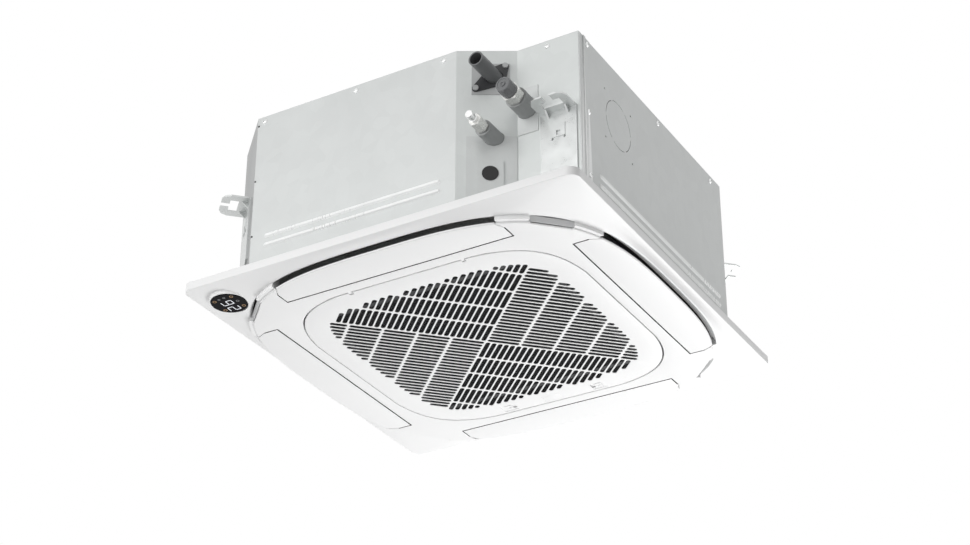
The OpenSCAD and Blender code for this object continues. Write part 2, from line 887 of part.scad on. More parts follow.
// Rubber feet with studs through the top plate
module motor_mount() {
    color("black")
        for (i = [0 : motor_bolts - 1])
            rotate([0, 0, 45 + 360 * i / motor_bolts]) translate([motor_bolt_pcr, 0, motor_top]) {
                cylinder(r = mount_r, h = mount_h, $fn = facets);
                cylinder(r = stud_r, h = mount_h + sheet_t + bead_h, $fn = facets);
            }
}

module motor_shaft() {
    z0 = fan_top - hub_dip - hub_boss_h - nut_h - nut_gap;
    color("silver") translate([0, 0, z0])
        cylinder(r = shaft_r, h = motor_low + shaft_grip - run_gap - z0, $fn = facets);
}

// Outlines of the hub and the shroud in the plane through the axis
hub_shares = [[0.08, 1], [0.2, 0.98], [0.36, 0.62], [0.5, 0.2], [0.64, 0.04], [0.8, 0], [1, 0]];
shroud_shares = [[0.775, 0], [0.79, 0.1], [0.83, 0.19], [0.9, 0.26], [1, 0.3]];
function hub_line(dz) = [for (s = hub_shares) [s.x * fan_r, fan_top - hub_dip * s.y + dz]];
function shroud_line(dz) = [for (s = shroud_shares) [s.x * fan_r, fan_low + fan_depth * s.y + dz]];

// Backward-curved blade as seen along the axis
blade_end_share = 0.995;
blade_probe_share = 0.01;
function blade_point(t) = fan_r * (blade_in_share + (blade_end_share - blade_in_share) * t)
    * [cos(-blade_sweep * t), sin(-blade_sweep * t)];
function blade_side(t) = let (d = unit(blade_point(t + blade_probe_share) - blade_point(t - blade_probe_share))) [-d.y, d.x];
function blade_edge(t, side) = blade_point(t) + side * blade_t * (0.35 + 2.6 * t * (1 - t)) / 2 * blade_side(t);
module blade_outline() {
    polygon(concat(
        [for (i = [0 : blade_steps]) blade_edge(i / blade_steps, 1)],
        [for (i = [blade_steps : -1 : 0]) blade_edge(i / blade_steps, -1)]));
}

module turbo_fan() {
    color("lightgray") {
        rotate_extrude($fn = facets)
            polygon(concat(hub_line(0), reversed(hub_line(-hub_t))));
        translate([0, 0, fan_top - hub_dip - hub_boss_h]) difference() {
            cylinder(r = hub_boss_r + shaft_r / 2, h = hub_boss_h - hub_t / 2, $fn = facets);
            translate([0, 0, -over]) cylinder(r = shaft_r, h = hub_boss_h + 2 * over, $fn = facets);
        }
        rotate_extrude($fn = facets)
            polygon(concat(shroud_line(0), reversed(shroud_line(shroud_t))));
        intersection() {
            translate([0, 0, fan_low]) linear_extrude(fan_depth)
                for (i = [0 : blade_count - 1]) rotate([0, 0, 360 * i / blade_count]) blade_outline();
            rotate_extrude($fn = facets)
                polygon(concat(
                    [[blade_in_share * fan_r * 0.9, fan_low + 2 * bell_overlap]],
                    [for (p = shroud_line(shroud_t / 2)) if (p.x > fan_inlet_r + shroud_t / 2) p],
                    reversed([for (p = hub_line(-hub_t / 2)) if (p.x > blade_in_share * fan_r * 0.8) p])));
        }
    }
}

module fan_nut() {
    z0 = fan_top - hub_dip - hub_boss_h - nut_h;
    color("silver") translate([0, 0, z0]) difference() {
        cylinder(r = nut_af / sqrt(3), h = nut_h, $fn = 6);
        translate([0, 0, -over]) cylinder(r = shaft_r, h = nut_h + 2 * over, $fn = facets);
    }
}

bell_height = fan_low + bell_overlap;
function bell_line(dr) = concat([
    for (i = [0 : bell_steps])
        let (a = 90 * i / bell_steps)
            [bell_mouth_r - (bell_mouth_r - bell_throat_r) * sin(a) + dr, bell_height * 0.86 * (1 - cos(a))]],
    [[bell_throat_r + dr, bell_height]]);

module bell_mouth() {
    color("white") difference() {
        union() {
            translate([0, 0, -bell_plate_t]) linear_extrude(bell_plate_t) difference() {
                polygon(rounded(bell_half, coil_corner_r));
                circle(r = bell_mouth_r, $fn = facets);
            }
            rotate_extrude($fn = facets)
                polygon(concat(
                    bell_line(0), reversed(bell_line(bell_t)),
                    [[bell_mouth_r + bell_t, -bell_plate_t], [bell_mouth_r, -bell_plate_t]]));
        }
        translate([0, 0, -bell_plate_t - over]) linear_extrude(bell_plate_t + 2 * over)
            polygon(box_outline(seat_gap));
    }
}

// Control box in the corner behind the intake

box_leg = 104;
box_edge = 3;
box_h = 54;
box_t = 1.2;
board_t = 1.6;
board_z = 34;
board_post_r = 3;
board_gap = 2;
terminal = [62, 14, 16];
terminal_count = 5;
terminal_screw_r = 3.2;
box_c = pan_open - box_edge;
function box_outline(d) = let (c = box_c, e = box_leg, k = d * (sqrt(2) - 1)) [
    [-c + box_cut - k, -c - d], [-c + e + d + k, -c - d], [-c - d, -c + e + d + k], [-c - d, -c + box_cut - k]
];
box_cut = 36;

module control_box() {
    color("silver") difference() {
        translate([0, 0, -bell_plate_t]) linear_extrude(box_h + bell_plate_t) polygon(box_outline(0));
        translate([0, 0, -bell_plate_t - over]) linear_extrude(box_h + over + bell_plate_t - box_t)
            polygon(box_outline(-box_t));
    }
    color("silver")
        for (p = board_posts()) translate([p.x, p.y, board_z + board_t])
            cylinder(r = board_post_r, h = box_h - box_t - board_z - board_t, $fn = facets);
}
post_in = 14;
function board_posts() = [
    [-box_c + box_leg - 2 * post_in - board_post_r, -box_c + post_in],
    [-box_c + post_in, -box_c + box_leg - 2 * post_in - board_post_r],
    [-box_c + box_cut, -box_c + box_cut]
];

chip = [16, 14, 3];
relay = [14, 16, 15];
part_in = 8;
module control_board() {
    color("darkgreen") translate([0, 0, board_z]) linear_extrude(board_t) polygon(box_outline(-box_t - board_gap));
    color("black") translate([-box_c + box_cut - part_in / 2, -box_c + part_in, board_z - chip.z]) cube(chip);
    color("black") translate([-box_c + part_in, -box_c + box_cut - part_in / 2, board_z - relay.z]) cube(relay);
}

module terminal_block() {
    step = terminal.x / terminal_count;
    m = (-box_c * 2 + box_leg) / 2 - terminal_in / sqrt(2);
    color("ivory") translate([m, m, board_z - terminal.z]) rotate([0, 0, -45])
        difference() {
            translate([-terminal.x / 2, -terminal.y / 2, 0]) cube(terminal);
            for (i = [0 : terminal_count - 1])
                translate([-terminal.x / 2 + (i + 0.5) * step, 0, -over])
                    cylinder(r = terminal_screw_r, h = terminal.z / 2 + over, $fn = facets);
        }
}
terminal_in = 12;

// Drain pump, hose and float switch

pump_x = coil_in + 1;
pump_r = 23;
pump_base_r = 16;
pump_low = coil_base + 2;
pump_split = 58;
pump_top = 112;
nozzle_x = drain_x;
nozzle_y = -(coil_in - 9);
nozzle_z = 55;
nozzle_r = 6.5;
nozzle_top = 78;
pump_bracket = [20, 34, 2];
hose_r = 9.4;
hose_bend_r = 22;
hose_grip = 12;

module drain_pump() {
    color("white") {
        translate([pump_x, -pump_x, coil_base]) cylinder(r = pump_base_r / 2, h = pump_low - coil_base, $fn = facets);
        translate([pump_x, -pump_x, pump_low]) cylinder(r = pump_base_r, h = pump_split - pump_low, $fn = facets);
        translate([pump_x, -pump_x, pump_split]) cylinder(r = pump_r, h = pump_top - pump_split, $fn = facets);
        hull() {
            translate([pump_x, -pump_x, nozzle_z]) sphere(r = nozzle_r, $fn = 24);
            translate([nozzle_x, nozzle_y, nozzle_z]) sphere(r = nozzle_r, $fn = 24);
        }
        translate([nozzle_x, nozzle_y, nozzle_z]) cylinder(r = nozzle_r, h = nozzle_top - nozzle_z, $fn = facets);
    }
}

// Rubber hose from the pump up to the drain tube
module pump_hose() {
    straight = drain_z - hose_bend_r;
    color("black") difference() {
        union() {
            translate([nozzle_x, nozzle_y, nozzle_top - hose_grip])
                cylinder(r = hose_r, h = straight - nozzle_top + hose_grip, $fn = facets);
            translate([nozzle_x, nozzle_y - hose_bend_r, straight])
                rotate([90, 0, 90]) rotate_extrude(angle = 90, $fn = facets)
                    translate([hose_bend_r, 0]) circle(r = hose_r, $fn = facets);
            along_pipe(drain_x, drain_z, -drain_in, nozzle_y - hose_bend_r, hose_r);
        }
        translate([nozzle_x, nozzle_y, nozzle_top - hose_grip - over])
            cylinder(r = nozzle_r + run_gap, h = hose_grip + over, $fn = facets);
    }
}

float_x = half - 135;
float_y = -(coil_in + 13);
float_stem_r = 3;
float_out_r = 10.5;
float_h = 16;
float_low = 8;
float_travel = 8;
float_base_r = 8;
float_base_t = 2.5;
float_stop_r = 6;
module float_guide() {
    color("ivory") translate([float_x, float_y, coil_base]) {
        cylinder(r = float_base_r, h = float_base_t, $fn = facets);
        cylinder(r = float_stop_r, h = float_low - 2 * seat_gap, $fn = facets);
        cylinder(r = float_stem_r, h = float_low + float_h + float_travel + 3 * float_base_t, $fn = facets);
        translate([0, 0, float_low + float_h + float_travel + seat_gap])
            cylinder(r = float_stop_r, h = float_base_t, $fn = facets);
    }
}

module float_ring() {
    color("orange") translate([float_x, float_y, coil_base + float_low - seat_gap]) difference() {
        cylinder(r = float_out_r, h = float_h, $fn = facets);
        translate([0, 0, -over]) cylinder(r = float_stem_r + 2 * run_gap, h = float_h + 2 * over, $fn = facets);
    }
}

// Panel

seal_t = 4;
seal_w = 9;
module duct_seal() {
    color("black") translate([0, 0, -seal_t]) linear_extrude(seal_t) difference() {
        polygon(se_outline(collar_a + seal_w, collar_n, 4 * (side_steps + arc_steps)));
        polygon(se_outline(collar_a, collar_n, 4 * (side_steps + arc_steps)));
        translate([half - pocket_w - slant_w, -casing_side]) square([casing_side, casing_side - half + pocket_d + seal_w]);
    }
}

// Matching points of the outer rim and the inner lip, one quarter at a time
rim_angles = concat(
    [for (k = [0 : side_steps - 1]) atan2(k * (panel_half - panel_corner_r) / side_steps, panel_half)],
    [for (k = [0 : arc_steps]) rim_angle + (90 - 2 * rim_angle) * k / arc_steps],
    [for (k = [side_steps - 1 : -1 : 1]) 90 - atan2(k * (panel_half - panel_corner_r) / side_steps, panel_half)]);
lip_angles = concat(
    [for (k = [0 : side_steps - 1]) fan_out_angle * k / side_steps],
    [for (k = [0 : arc_steps]) fan_out_angle + (90 - 2 * fan_out_angle) * k / arc_steps],
    [for (k = [side_steps - 1 : -1 : 1]) 90 - fan_out_angle * k / side_steps]);
ring_count = 4 * len(rim_angles);

function corner_point(s, r, k) = (s - r) * [1, 1] + r * [cos(90 * k / arc_steps), sin(90 * k / arc_steps)];
function rim_quarter(s, r) = concat(
    [for (k = [0 : side_steps - 1]) [s, k * (s - r) / side_steps]],
    [for (k = [0 : arc_steps]) corner_point(s, r, k)],
    [for (k = [side_steps - 1 : -1 : 1]) [k * (s - r) / side_steps, s]]);
function turned(p, q) = [p.x * cos(90 * q) - p.y * sin(90 * q), p.x * sin(90 * q) + p.y * cos(90 * q)];
function rim_ring(s, r) = [for (q = [0 : 3]) for (p = rim_quarter(s, r)) turned(p, q)];
function lip_ring(a, n) = [for (q = [0 : 3]) for (t = lip_angles) turned(se_point(a, n, t), q)];
function blend(u, v, t) = [for (i = [0 : len(u) - 1]) u[i] * (1 - t) + v[i] * t];
function at_z(ring, z) = [for (p = ring) [p.x, p.y, z]];

// Underside of the frame: share of the way in, share of the drop
slope_shares = [[0.3, 0.16], [0.58, 0.42], [0.8, 0.74], [0.93, 0.94]];
rim_round = 1.2;
lip_round = 0.5;
collar_t = 2.5;
frame_drop = lip_drop - rim_h;
function frame_rings() = let (
        rim = rim_ring(panel_half, panel_corner_r),
        rim_in = rim_ring(panel_half - rim_round, panel_corner_r - rim_round),
        rim_wall = rim_ring(panel_half - wall_t, panel_corner_r - wall_t),
        lip = lip_ring(lip_a, lip_n),
        lip_back = lip_ring(lip_a - rim_round, lip_n),
        lip_floor = lip_ring(lip_a - lip_round * 3, lip_n)) [
    at_z(rim, 0),
    at_z(rim, -rim_h + rim_round),
    at_z(rim_in, -rim_h),
    at_z(blend(rim_in, lip, slope_shares[0].x), -rim_h - frame_drop * slope_shares[0].y),
    at_z(blend(rim_in, lip, slope_shares[1].x), -rim_h - frame_drop * slope_shares[1].y),
    at_z(blend(rim_in, lip, slope_shares[2].x), -rim_h - frame_drop * slope_shares[2].y),
    at_z(blend(rim_in, lip, slope_shares[3].x), -rim_h - frame_drop * slope_shares[3].y),
    at_z(lip, -lip_drop),
    at_z(lip_back, -lip_drop + lip_round),
    at_z(lip_ring(collar_a, collar_n), -seal_t),
    at_z(lip_ring(collar_a + collar_t, collar_n), -seal_t),
    at_z(lip_floor, -lip_drop + wall_t + lip_round),
    at_z(blend(rim_wall, lip, slope_shares[2].x), -rim_h - frame_drop * slope_shares[2].y + wall_t),
    at_z(blend(rim_wall, lip, slope_shares[0].x), -rim_h - frame_drop * slope_shares[0].y + wall_t),
    at_z(rim_wall, -rim_h + wall_t),
    at_z(rim_wall, 0)
];

module closed_loft(rings) {
    n = len(rings[0]);
    m = len(rings);
    polyhedron(
        points = [for (r = rings) each r],
        faces = [for (j = [0 : m - 1]) for (i = [0 : n - 1])
            let (a = j * n + i, b = j * n + (i + 1) % n, c = ((j + 1) % m) * n + (i + 1) % n, d = ((j + 1) % m) * n + i)
                each [[a, b, c], [a, c, d]]]);
}

lens_x = 262;
lens_r = 26;
lens_gap = 0.3;
lens_t = 2.4;
lens_drop = 20.9;
lens_ring = 2.2;
lens_ring_drop = 19.9;
lens_ring_top = 4;
board_thick = 5;
lens_pos = (panel_half - 48) * [-1, -1];

module louvre_windows(grow) {
    w = louvre_window + grow;
    s = platform_edge + louvre_shoulder;
    for (a = [0 : 90 : 270]) rotate([0, 0, a])
        polygon([
            [-w, platform_edge - grow], [w, platform_edge - grow], [w, s],
            [w - louvre_taper, s + louvre_shoulder * 2 / 3], [w - louvre_taper, panel_half],
            [-w + louvre_taper, panel_half], [-w + louvre_taper, s + louvre_shoulder * 2 / 3], [-w, s]]);
}

module corner_notches(grow) {
    for (a = [45 : 90 : 315]) rotate([0, 0, a])
        polygon([
            [-notch_half - grow, notch_in - grow], [notch_half + grow, notch_in - grow],
            [notch_half + notch_flare + grow, panel_half * 2], [-notch_half - notch_flare - grow, panel_half * 2]]);
}

// Lip, sloped rim and duct collar in one moulding, with the bridges that carry the centre face
module panel_frame() {
    color("white") difference() {
        union() {
            closed_loft(frame_rings());
            translate([0, 0, wall_t - face_drop]) linear_extrude(face_drop - wall_t - seal_t) difference() {
                polygon(se_outline(lip_a - bridge_reach, lip_n, ring_count));
                polygon(se_outline(disc_a - bridge_inset, lip_n, ring_count));
                louvre_windows(bridge_gap);
                corner_notches(bridge_gap);
            }
            translate([lens_pos.x, lens_pos.y, -lens_ring_drop])
                cylinder(r = lens_r + lens_gap + lens_ring, h = lens_ring_drop - lens_ring_top, $fn = facets);
        }
        translate([lens_pos.x, lens_pos.y, -lens_ring_drop - over])
            cylinder(r = lens_r + lens_gap, h = lens_ring_drop + 2 * over, $fn = facets);
    }
}

module display_lens() {
    color("black") translate([lens_pos.x, lens_pos.y, -lens_drop]) {
        cylinder(r1 = lens_r - lens_gap, r2 = lens_r, h = lens_gap, $fn = facets);
        translate([0, 0, lens_gap]) cylinder(r = lens_r, h = lens_t - lens_gap, $fn = facets);
    }
}

module display_board() {
    color("green") translate([lens_pos.x, lens_pos.y, -lens_drop + lens_t])
        cylinder(r = lens_r, h = board_thick, $fn = facets);
}

// Centre face with its duct walls, louvre cheeks, hinge ears and screw tabs
inner_wall_a = grille_a + seam;
tab = [16, 10, 3];
tab_drop = 5;
panel_screw_grip = 12;
tab_y = inner_wall_a - tab.y / 2;
module panel_screw_places() {
    for (a = [0 : 90 : 270]) rotate([0, 0, a]) translate([0, tab_y, 0]) children();
}

module centre_platform() {
    color("white") {
        difference() {
            union() {
                translate([0, 0, -face_drop]) linear_extrude(wall_t) difference() {
                    polygon(se_outline(disc_a, lip_n, ring_count));
                    polygon(flat_outline(inner_wall_a, grille_n, ring_count));
                    louvre_windows(0);
                    corner_notches(0);
                }
                // wall round the intake
                translate([0, 0, wall_t - face_drop - seat_gap]) linear_extrude(face_drop - wall_t + seat_gap) difference() {
                    polygon(flat_outline(inner_wall_a + wall_t, grille_n, ring_count));
                    polygon(flat_outline(inner_wall_a, grille_n, ring_count));
                    translate([-hinge_x - 3 * ear_w, -panel_half]) square([6 * ear_w, panel_half]);
                    translate([hinge_x - 3 * ear_w, -panel_half]) square([6 * ear_w, panel_half]);
                }
                for (a = [0 : 90 : 270]) rotate([0, 0, a]) {
                    // wall beside the air outlet
                    translate([-louvre_half + cheek_t, platform_edge - wall_t, wall_t - face_drop - seat_gap])
                        cube([2 * (louvre_half - cheek_t), wall_t, face_drop - wall_t + seat_gap]);
                    // louvre cheeks
                    for (s = [-1, 1])
                        translate([s * (louvre_window + cheek_t / 2) - cheek_t / 2, platform_edge - wall_t,
                                   wall_t - face_drop - seat_gap])
                            cube([cheek_t, cheek_len + wall_t, cheek_h]);
                    translate([-tab.x / 2, inner_wall_a - tab.y, -tab_drop])
                        cube([tab.x, tab.y + wall_t / 2, tab.z]);
                }
                for (s = [-1, 1]) translate([s * hinge_x - ear_w / 2, hinge_y, hinge_z]) {
                    rotate([0, 90, 0]) cylinder(r = ear_r, h = ear_w, $fn = facets);
                    translate([0, -hinge_inset - seam - wall_t, -ear_r]) cube([ear_w, hinge_inset + seam + wall_t, 2 * ear_r]);
                }
            }
            // bores for the louvre pins and the motor shafts
            for (a = [0 : 90 : 270]) rotate([0, 0, a]) {
                translate([-louvre_window - cheek_t - over, pivot_y, pivot_z]) rotate([0, 90, 0])
                    cylinder(r = louvre_pin_r + run_gap, h = cheek_t + over + louvre_end_gap, $fn = facets);
                translate([louvre_window - louvre_end_gap, pivot_y, pivot_z]) rotate([0, 90, 0])
                    cylinder(r = louvre_pin_r + slip_gap, h = cheek_t + over + louvre_end_gap, $fn = facets);
            }
            for (s = [-1, 1]) translate([s * hinge_x - ear_w, hinge_y, hinge_z]) rotate([0, 90, 0])
                cylinder(r = hinge_pin_r, h = 2 * ear_w, $fn = facets);
            panel_screw_places() translate([0, 0, -tab_drop - over])
                cylinder(r = screw_r + seat_gap, h = tab.z + 2 * over, $fn = facets);
            // relief of the lower edge round the intake
            translate([0, 0, -face_drop - over]) linear_extrude(over + grille_step)
                polygon(flat_outline(inner_wall_a + grille_step, grille_n, ring_count));
        }
    }
}

module panel_screws() {
    color("silver") panel_screw_places() {
        translate([0, 0, -tab_drop - screw_head_h]) cylinder(r = screw_head_r, h = screw_head_h, $fn = facets);
        translate([0, 0, -tab_drop]) cylinder(r = screw_r, h = tab_drop + panel_screw_grip - over, $fn = facets);
    }
}

// Fixed guide strips in the corner outlets
vane_in = 1.2;
module corner_vanes() {
    color("silver") for (a = [45 : 90 : 315]) rotate([0, 0, a])
        translate([0, notch_in + vane_in, wall_t - face_drop + seat_gap]) rotate([90 - vane_angle, 0, 0])
            translate([-notch_half - bridge_gap, 0, 0]) cube([2 * (notch_half + bridge_gap), vane_h, vane_t]);
}

// Louvres, drawn at the +Y side and turned to their own side

arc_count = 14;
bore_depth = 9;
shaft_in = 8;
function louvre_points() = let (e = louvre_half - louvre_taper, s = platform_edge + louvre_shoulder) concat(
    [[-louvre_half, louvre_in], [louvre_half, louvre_in], [louvre_half, s]],
    [for (i = [0 : arc_count]) let (x = e - 2 * e * i / arc_count) [x, se_y(disc_a, lip_n, x)]],
    [[-louvre_half, s]]);

module louvre(angle) {
    color("white") rotate([0, 0, angle]) difference() {
        union() {
            difference() {
                translate([0, 0, -face_drop]) linear_extrude(louvre_t) polygon(louvre_points());
                translate([-louvre_half - over, louvre_in - over, -face_drop - over])
                    cube([2 * (louvre_half + over), louvre_step + over, louvre_step + over]);
            }
            translate([-louvre_half, pivot_y, pivot_z]) rotate([0, 90, 0])
                cylinder(r = spine_r, h = 2 * louvre_half, $fn = facets);
            translate([-louvre_half - pin_len, pivot_y, pivot_z]) rotate([0, 90, 0])
                cylinder(r = louvre_pin_r, h = pin_len + over, $fn = facets);
            for (k = rib_shares) translate([k * louvre_half - rib_t / 2, pivot_y, louvre_t - face_drop - seat_gap])
                rotate([90, 0, 90]) linear_extrude(rib_t)
                    polygon([[0, 0], [rib_len, 0], [rib_len, rib_h_end], [0, rib_h]]);
        }
        translate([louvre_half - bore_depth, pivot_y, pivot_z]) rotate([0, 90, 0])
            cylinder(r = louvre_pin_r + run_gap, h = bore_depth + over, $fn = facets);
    }
}
rib_shares = [-0.6, 0, 0.6];
rib_t = 1.6;
rib_len = 30;
rib_h = 3;
rib_h_end = 0.6;

module louvre_front() { louvre(180); }
module louvre_right() { louvre(270); }
module louvre_rear() { louvre(0); }
module louvre_left() { louvre(90); }

// Stepper motor beside each louvre with its shaft in the louvre's end
module louvre_motors() {
    color("silver") for (a = [0 : 90 : 270]) rotate([0, 0, a]) {
        translate([louvre_window + cheek_t, pivot_y, pivot_z + louvre_motor_offset]) rotate([0, 90, 0])
            cylinder(r = louvre_motor_r, h = louvre_motor_len, $fn = facets);
        translate([louvre_half - shaft_in, pivot_y, pivot_z]) rotate([0, 90, 0])
            cylinder(r = louvre_pin_r, h = shaft_in + louvre_end_gap + cheek_t + over, $fn = facets);
    }
}

// Intake grille: slots lie across each quarter, turned a quarter at a time

function border_v(u, lo, hi, n) = n == 0 ? lo :
    let (m = (lo + hi) / 2, x = (u - m) / sqrt(2), y = (u + m) / sqrt(2))
        pow(abs(x), border_n) + pow(abs(y), border_n) < pow(border_a, border_n)
            ? border_v(u, m, hi, n - 1) : border_v(u, lo, m, n - 1);
function slot_points(u, v0, v1) = let (h = slot_w / 2) concat(
    [for (t = [0 : 60 : 180]) [u + h * cos(t), v1 - h + h * sin(t)]],
    [for (t = [180 : 60 : 360]) [u + h * cos(t), v0 + h + h * sin(t)]]);
slot_rows = floor(border_a * 1.3 / slot_pitch);
function slot_list() = [
    for (j = [0 : slot_rows])
        let (u = (j + 0.5) * slot_pitch,
             reach = min(border_v(u - slot_w / 2, 0, 2 * border_a, 16), border_v(u + slot_w / 2, 0, 2 * border_a, 16)))
            for (k = [0 : ceil(reach / slot_cell)])
                let (v0 = k * slot_cell + web_half, v1 = min((k + 1) * slot_cell - web_half, reach))
                    if (v1 - v0 > 1.5 * slot_w) slot_points(u, v0, v1)
];

// Thinned field behind the slots, where the filter also lies
module slot_field() {
    polygon(se_outline(border_a + field_edge, border_n, ring_count));
    translate([-filter_w / 2 - seat_gap, filter_y0 - seat_gap])
        square([filter_w + 2 * seat_gap, filter_d + 2 * seat_gap]);
}

latch_y = grille_a - latch_y_in - latch_pocket.y / 2;
rail_t = 1.4;
rail_lip = 1.2;
notch_in_y = 5.5;         // depth of the hinge notch in the grille edge
barrel_gap = 0.5;
latch_tongue = [9, 4.4];

module intake_grille() {
    z0 = -face_drop;
    color("white") difference() {
        union() {
            translate([0, 0, z0]) difference() {
                linear_extrude(grille_t) difference() {
                    polygon(flat_outline(grille_a, grille_n, ring_count));
                    for (q = [0 : 90 : 270]) rotate([0, 0, 45 + q])
                        for (p = slot_list()) polygon(p);
                    for (s = [-1, 1])
                        translate([s * hinge_x - ear_w / 2 - barrel_gap, -grille_a - over])
                            square([ear_w + 2 * barrel_gap, notch_in_y + over]);
                }
                translate([0, 0, bar_t]) linear_extrude(grille_t) slot_field();
            }
            // skirt behind the border, open at the latches
            translate([0, 0, z0 + grille_t - seat_gap]) linear_extrude(skirt_h + seat_gap) difference() {
                polygon(flat_outline(grille_a - skirt_inset, grille_n, ring_count));
                polygon(flat_outline(grille_a - skirt_inset - skirt_t, grille_n, ring_count));
                for (s = [-1, 1])
                    translate([s * latch_x - latch_plate.x, 0]) square([2 * latch_plate.x, panel_half]);
            }
            for (s = [-1, 1]) {
                for (t = [-1, 1])
                    translate([s * hinge_x + t * (ear_w + barrel_w + 2 * barrel_gap) / 2 - barrel_w / 2, hinge_y, hinge_z])
                        rotate([0, 90, 0]) cylinder(r = barrel_r, h = barrel_w, $fn = facets);
                for (t = [-1, 1])
                    translate([s * latch_x - latch_plate.x * 0.7, latch_y, z0 + grille_t - seat_gap])
                        rotate([90, 0, 90]) linear_extrude(latch_plate.x * 1.4) {
                            y0 = t * (latch_plate.y / 2 + slip_gap);
                            h = latch_plate_t + 3 * seat_gap;
                            polygon([
                                [y0, 0], [y0 + t * rail_t, 0], [y0 + t * rail_t, h + rail_t],
                                [y0 - t * rail_lip, h + rail_t], [y0 - t * rail_lip, h], [y0, h]]);
                        }
            }
        }
        // relief of the lower edge, so that it clears the centre face as it swings
        translate([0, 0, z0 - over]) linear_extrude(over + grille_step) difference() {
            square(2 * platform_edge, center = true);
            polygon(flat_outline(grille_a - grille_step, grille_n, ring_count));
        }
        for (s = [-1, 1]) {
            translate([s * hinge_x - barrel_w - ear_w, hinge_y, hinge_z]) rotate([0, 90, 0])
                cylinder(r = hinge_pin_r + run_gap, h = 2 * (barrel_w + ear_w), $fn = facets);
            translate([s * latch_x - latch_pocket.x / 2, latch_y - latch_pocket.y / 2, z0 - over])
                cube([latch_pocket.x, latch_pocket.y, latch_pocket_d + over]);
            x0 = s * latch_x - latch_button.x / 2 - slip_gap - (s > 0 ? latch_travel : 0);
            translate([x0, latch_y - latch_button.y / 2 - slip_gap, z0 - over])
                cube([latch_button.x + 2 * slip_gap + latch_travel, latch_button.y + 2 * slip_gap, grille_t + 2 * over]);
            x1 = s * latch_x - latch_tongue.x / 2 - slip_gap - (s > 0 ? latch_travel : 0);
            translate([x1, latch_y + latch_plate.y / 2, z0 + grille_t])
                cube([latch_tongue.x + 2 * slip_gap + latch_travel, rail_t + 2 * slip_gap, skirt_h]);
        }
    }
}

module hinge_pins() {
    color("silver") for (s = [-1, 1])
        translate([s * hinge_x - ear_w / 2 - barrel_gap - barrel_w, hinge_y, hinge_z]) rotate([0, 90, 0])
            cylinder(r = hinge_pin_r, h = ear_w + 2 * (barrel_gap + barrel_w), $fn = facets);
}

// Sliding latch: s is the side it sits on
module latch(s) {
    z0 = -face_drop;
    color("white") translate([s * latch_x, latch_y, 0]) difference() {
        union() {
            translate([-latch_plate.x / 2, -latch_plate.y / 2, z0 + grille_t + seat_gap])
                cube([latch_plate.x, latch_plate.y, latch_plate_t]);
            translate([-latch_button.x / 2, -latch_button.y / 2, z0 + seat_gap])
                cube([latch_button.x, latch_button.y, grille_t + seat_gap]);
            translate([-latch_tongue.x / 2, latch_plate.y / 2 - over, z0 + grille_t + seat_gap])
                cube([latch_tongue.x, latch_tongue.y + over, latch_plate_t]);
        }
        translate([0, 0, z0 + seat_gap - dimple_r * 0.55]) sphere(r = dimple_r, $fn = facets);
    }
}
module latch_left() { latch(-1); }
module latch_right() { latch(1); }

// Air filter on the grille's inner side
filter_y0 = -filter_d / 2 - filter_shift;
filter_half = filter_h / 2;
mesh_t = 1;
filter_cells = 3;
module filter_frame() {
    color("gray") translate([-filter_w / 2, filter_y0, bar_t - face_drop]) {
        difference() {
            cube([filter_w, filter_d, filter_h]);
            translate([filter_rim, filter_rim, -over])
                cube([filter_w - 2 * filter_rim, filter_d - 2 * filter_rim, filter_h + 2 * over]);
        }
        for (k = [1 : filter_cells - 1]) {
            translate([k * filter_w / filter_cells - filter_rib / 2, filter_rim - over, filter_half])
                cube([filter_rib, filter_d - 2 * filter_rim + 2 * over, filter_half]);
            translate([filter_rim - over, k * filter_d / filter_cells - filter_rib / 2, filter_half])
                cube([filter_w - 2 * filter_rim + 2 * over, filter_rib, filter_half]);
        }
    }
}

module filter_mesh() {
    color("dimgray")
        translate([-filter_w / 2 + filter_rim, filter_y0 + filter_rim, bar_t - face_drop + filter_half - mesh_t])
            cube([filter_w - 2 * filter_rim, filter_d - 2 * filter_rim, mesh_t]);
}

top_plate();
front_panel();
pipe_corner_panel();
right_panel();
rear_panel();
left_panel();
corner_plates();
hanger_brackets();
casing_screws();
knockout_disc();
pipe_cover_plate();
drain_cover_plate();
drain_flange();
drain_tube();
gas_pipe();
liquid_pipe();
pipe_sleeves();
flare_nuts();
pipe_caps();
foam_liner();
drain_pan();
coil_fins();
coil_end_plates();
coil_bends();
coil_manifold();
fan_motor();
motor_mount();
motor_shaft();
turbo_fan();
fan_nut();
bell_mouth();
control_box();
control_board();
terminal_block();
drain_pump();
pump_hose();
float_guide();
float_ring();
duct_seal();
panel_frame();
centre_platform();
corner_vanes();
louvre_front();
louvre_right();
louvre_rear();
louvre_left();
louvre_motors();
intake_grille();
hinge_pins();
filter_frame();
filter_mesh();
latch_left();
latch_right();
display_lens();
display_board();
panel_screws();
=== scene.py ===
import json
import math

import bmesh
import bpy
from mathutils import Matrix, Vector

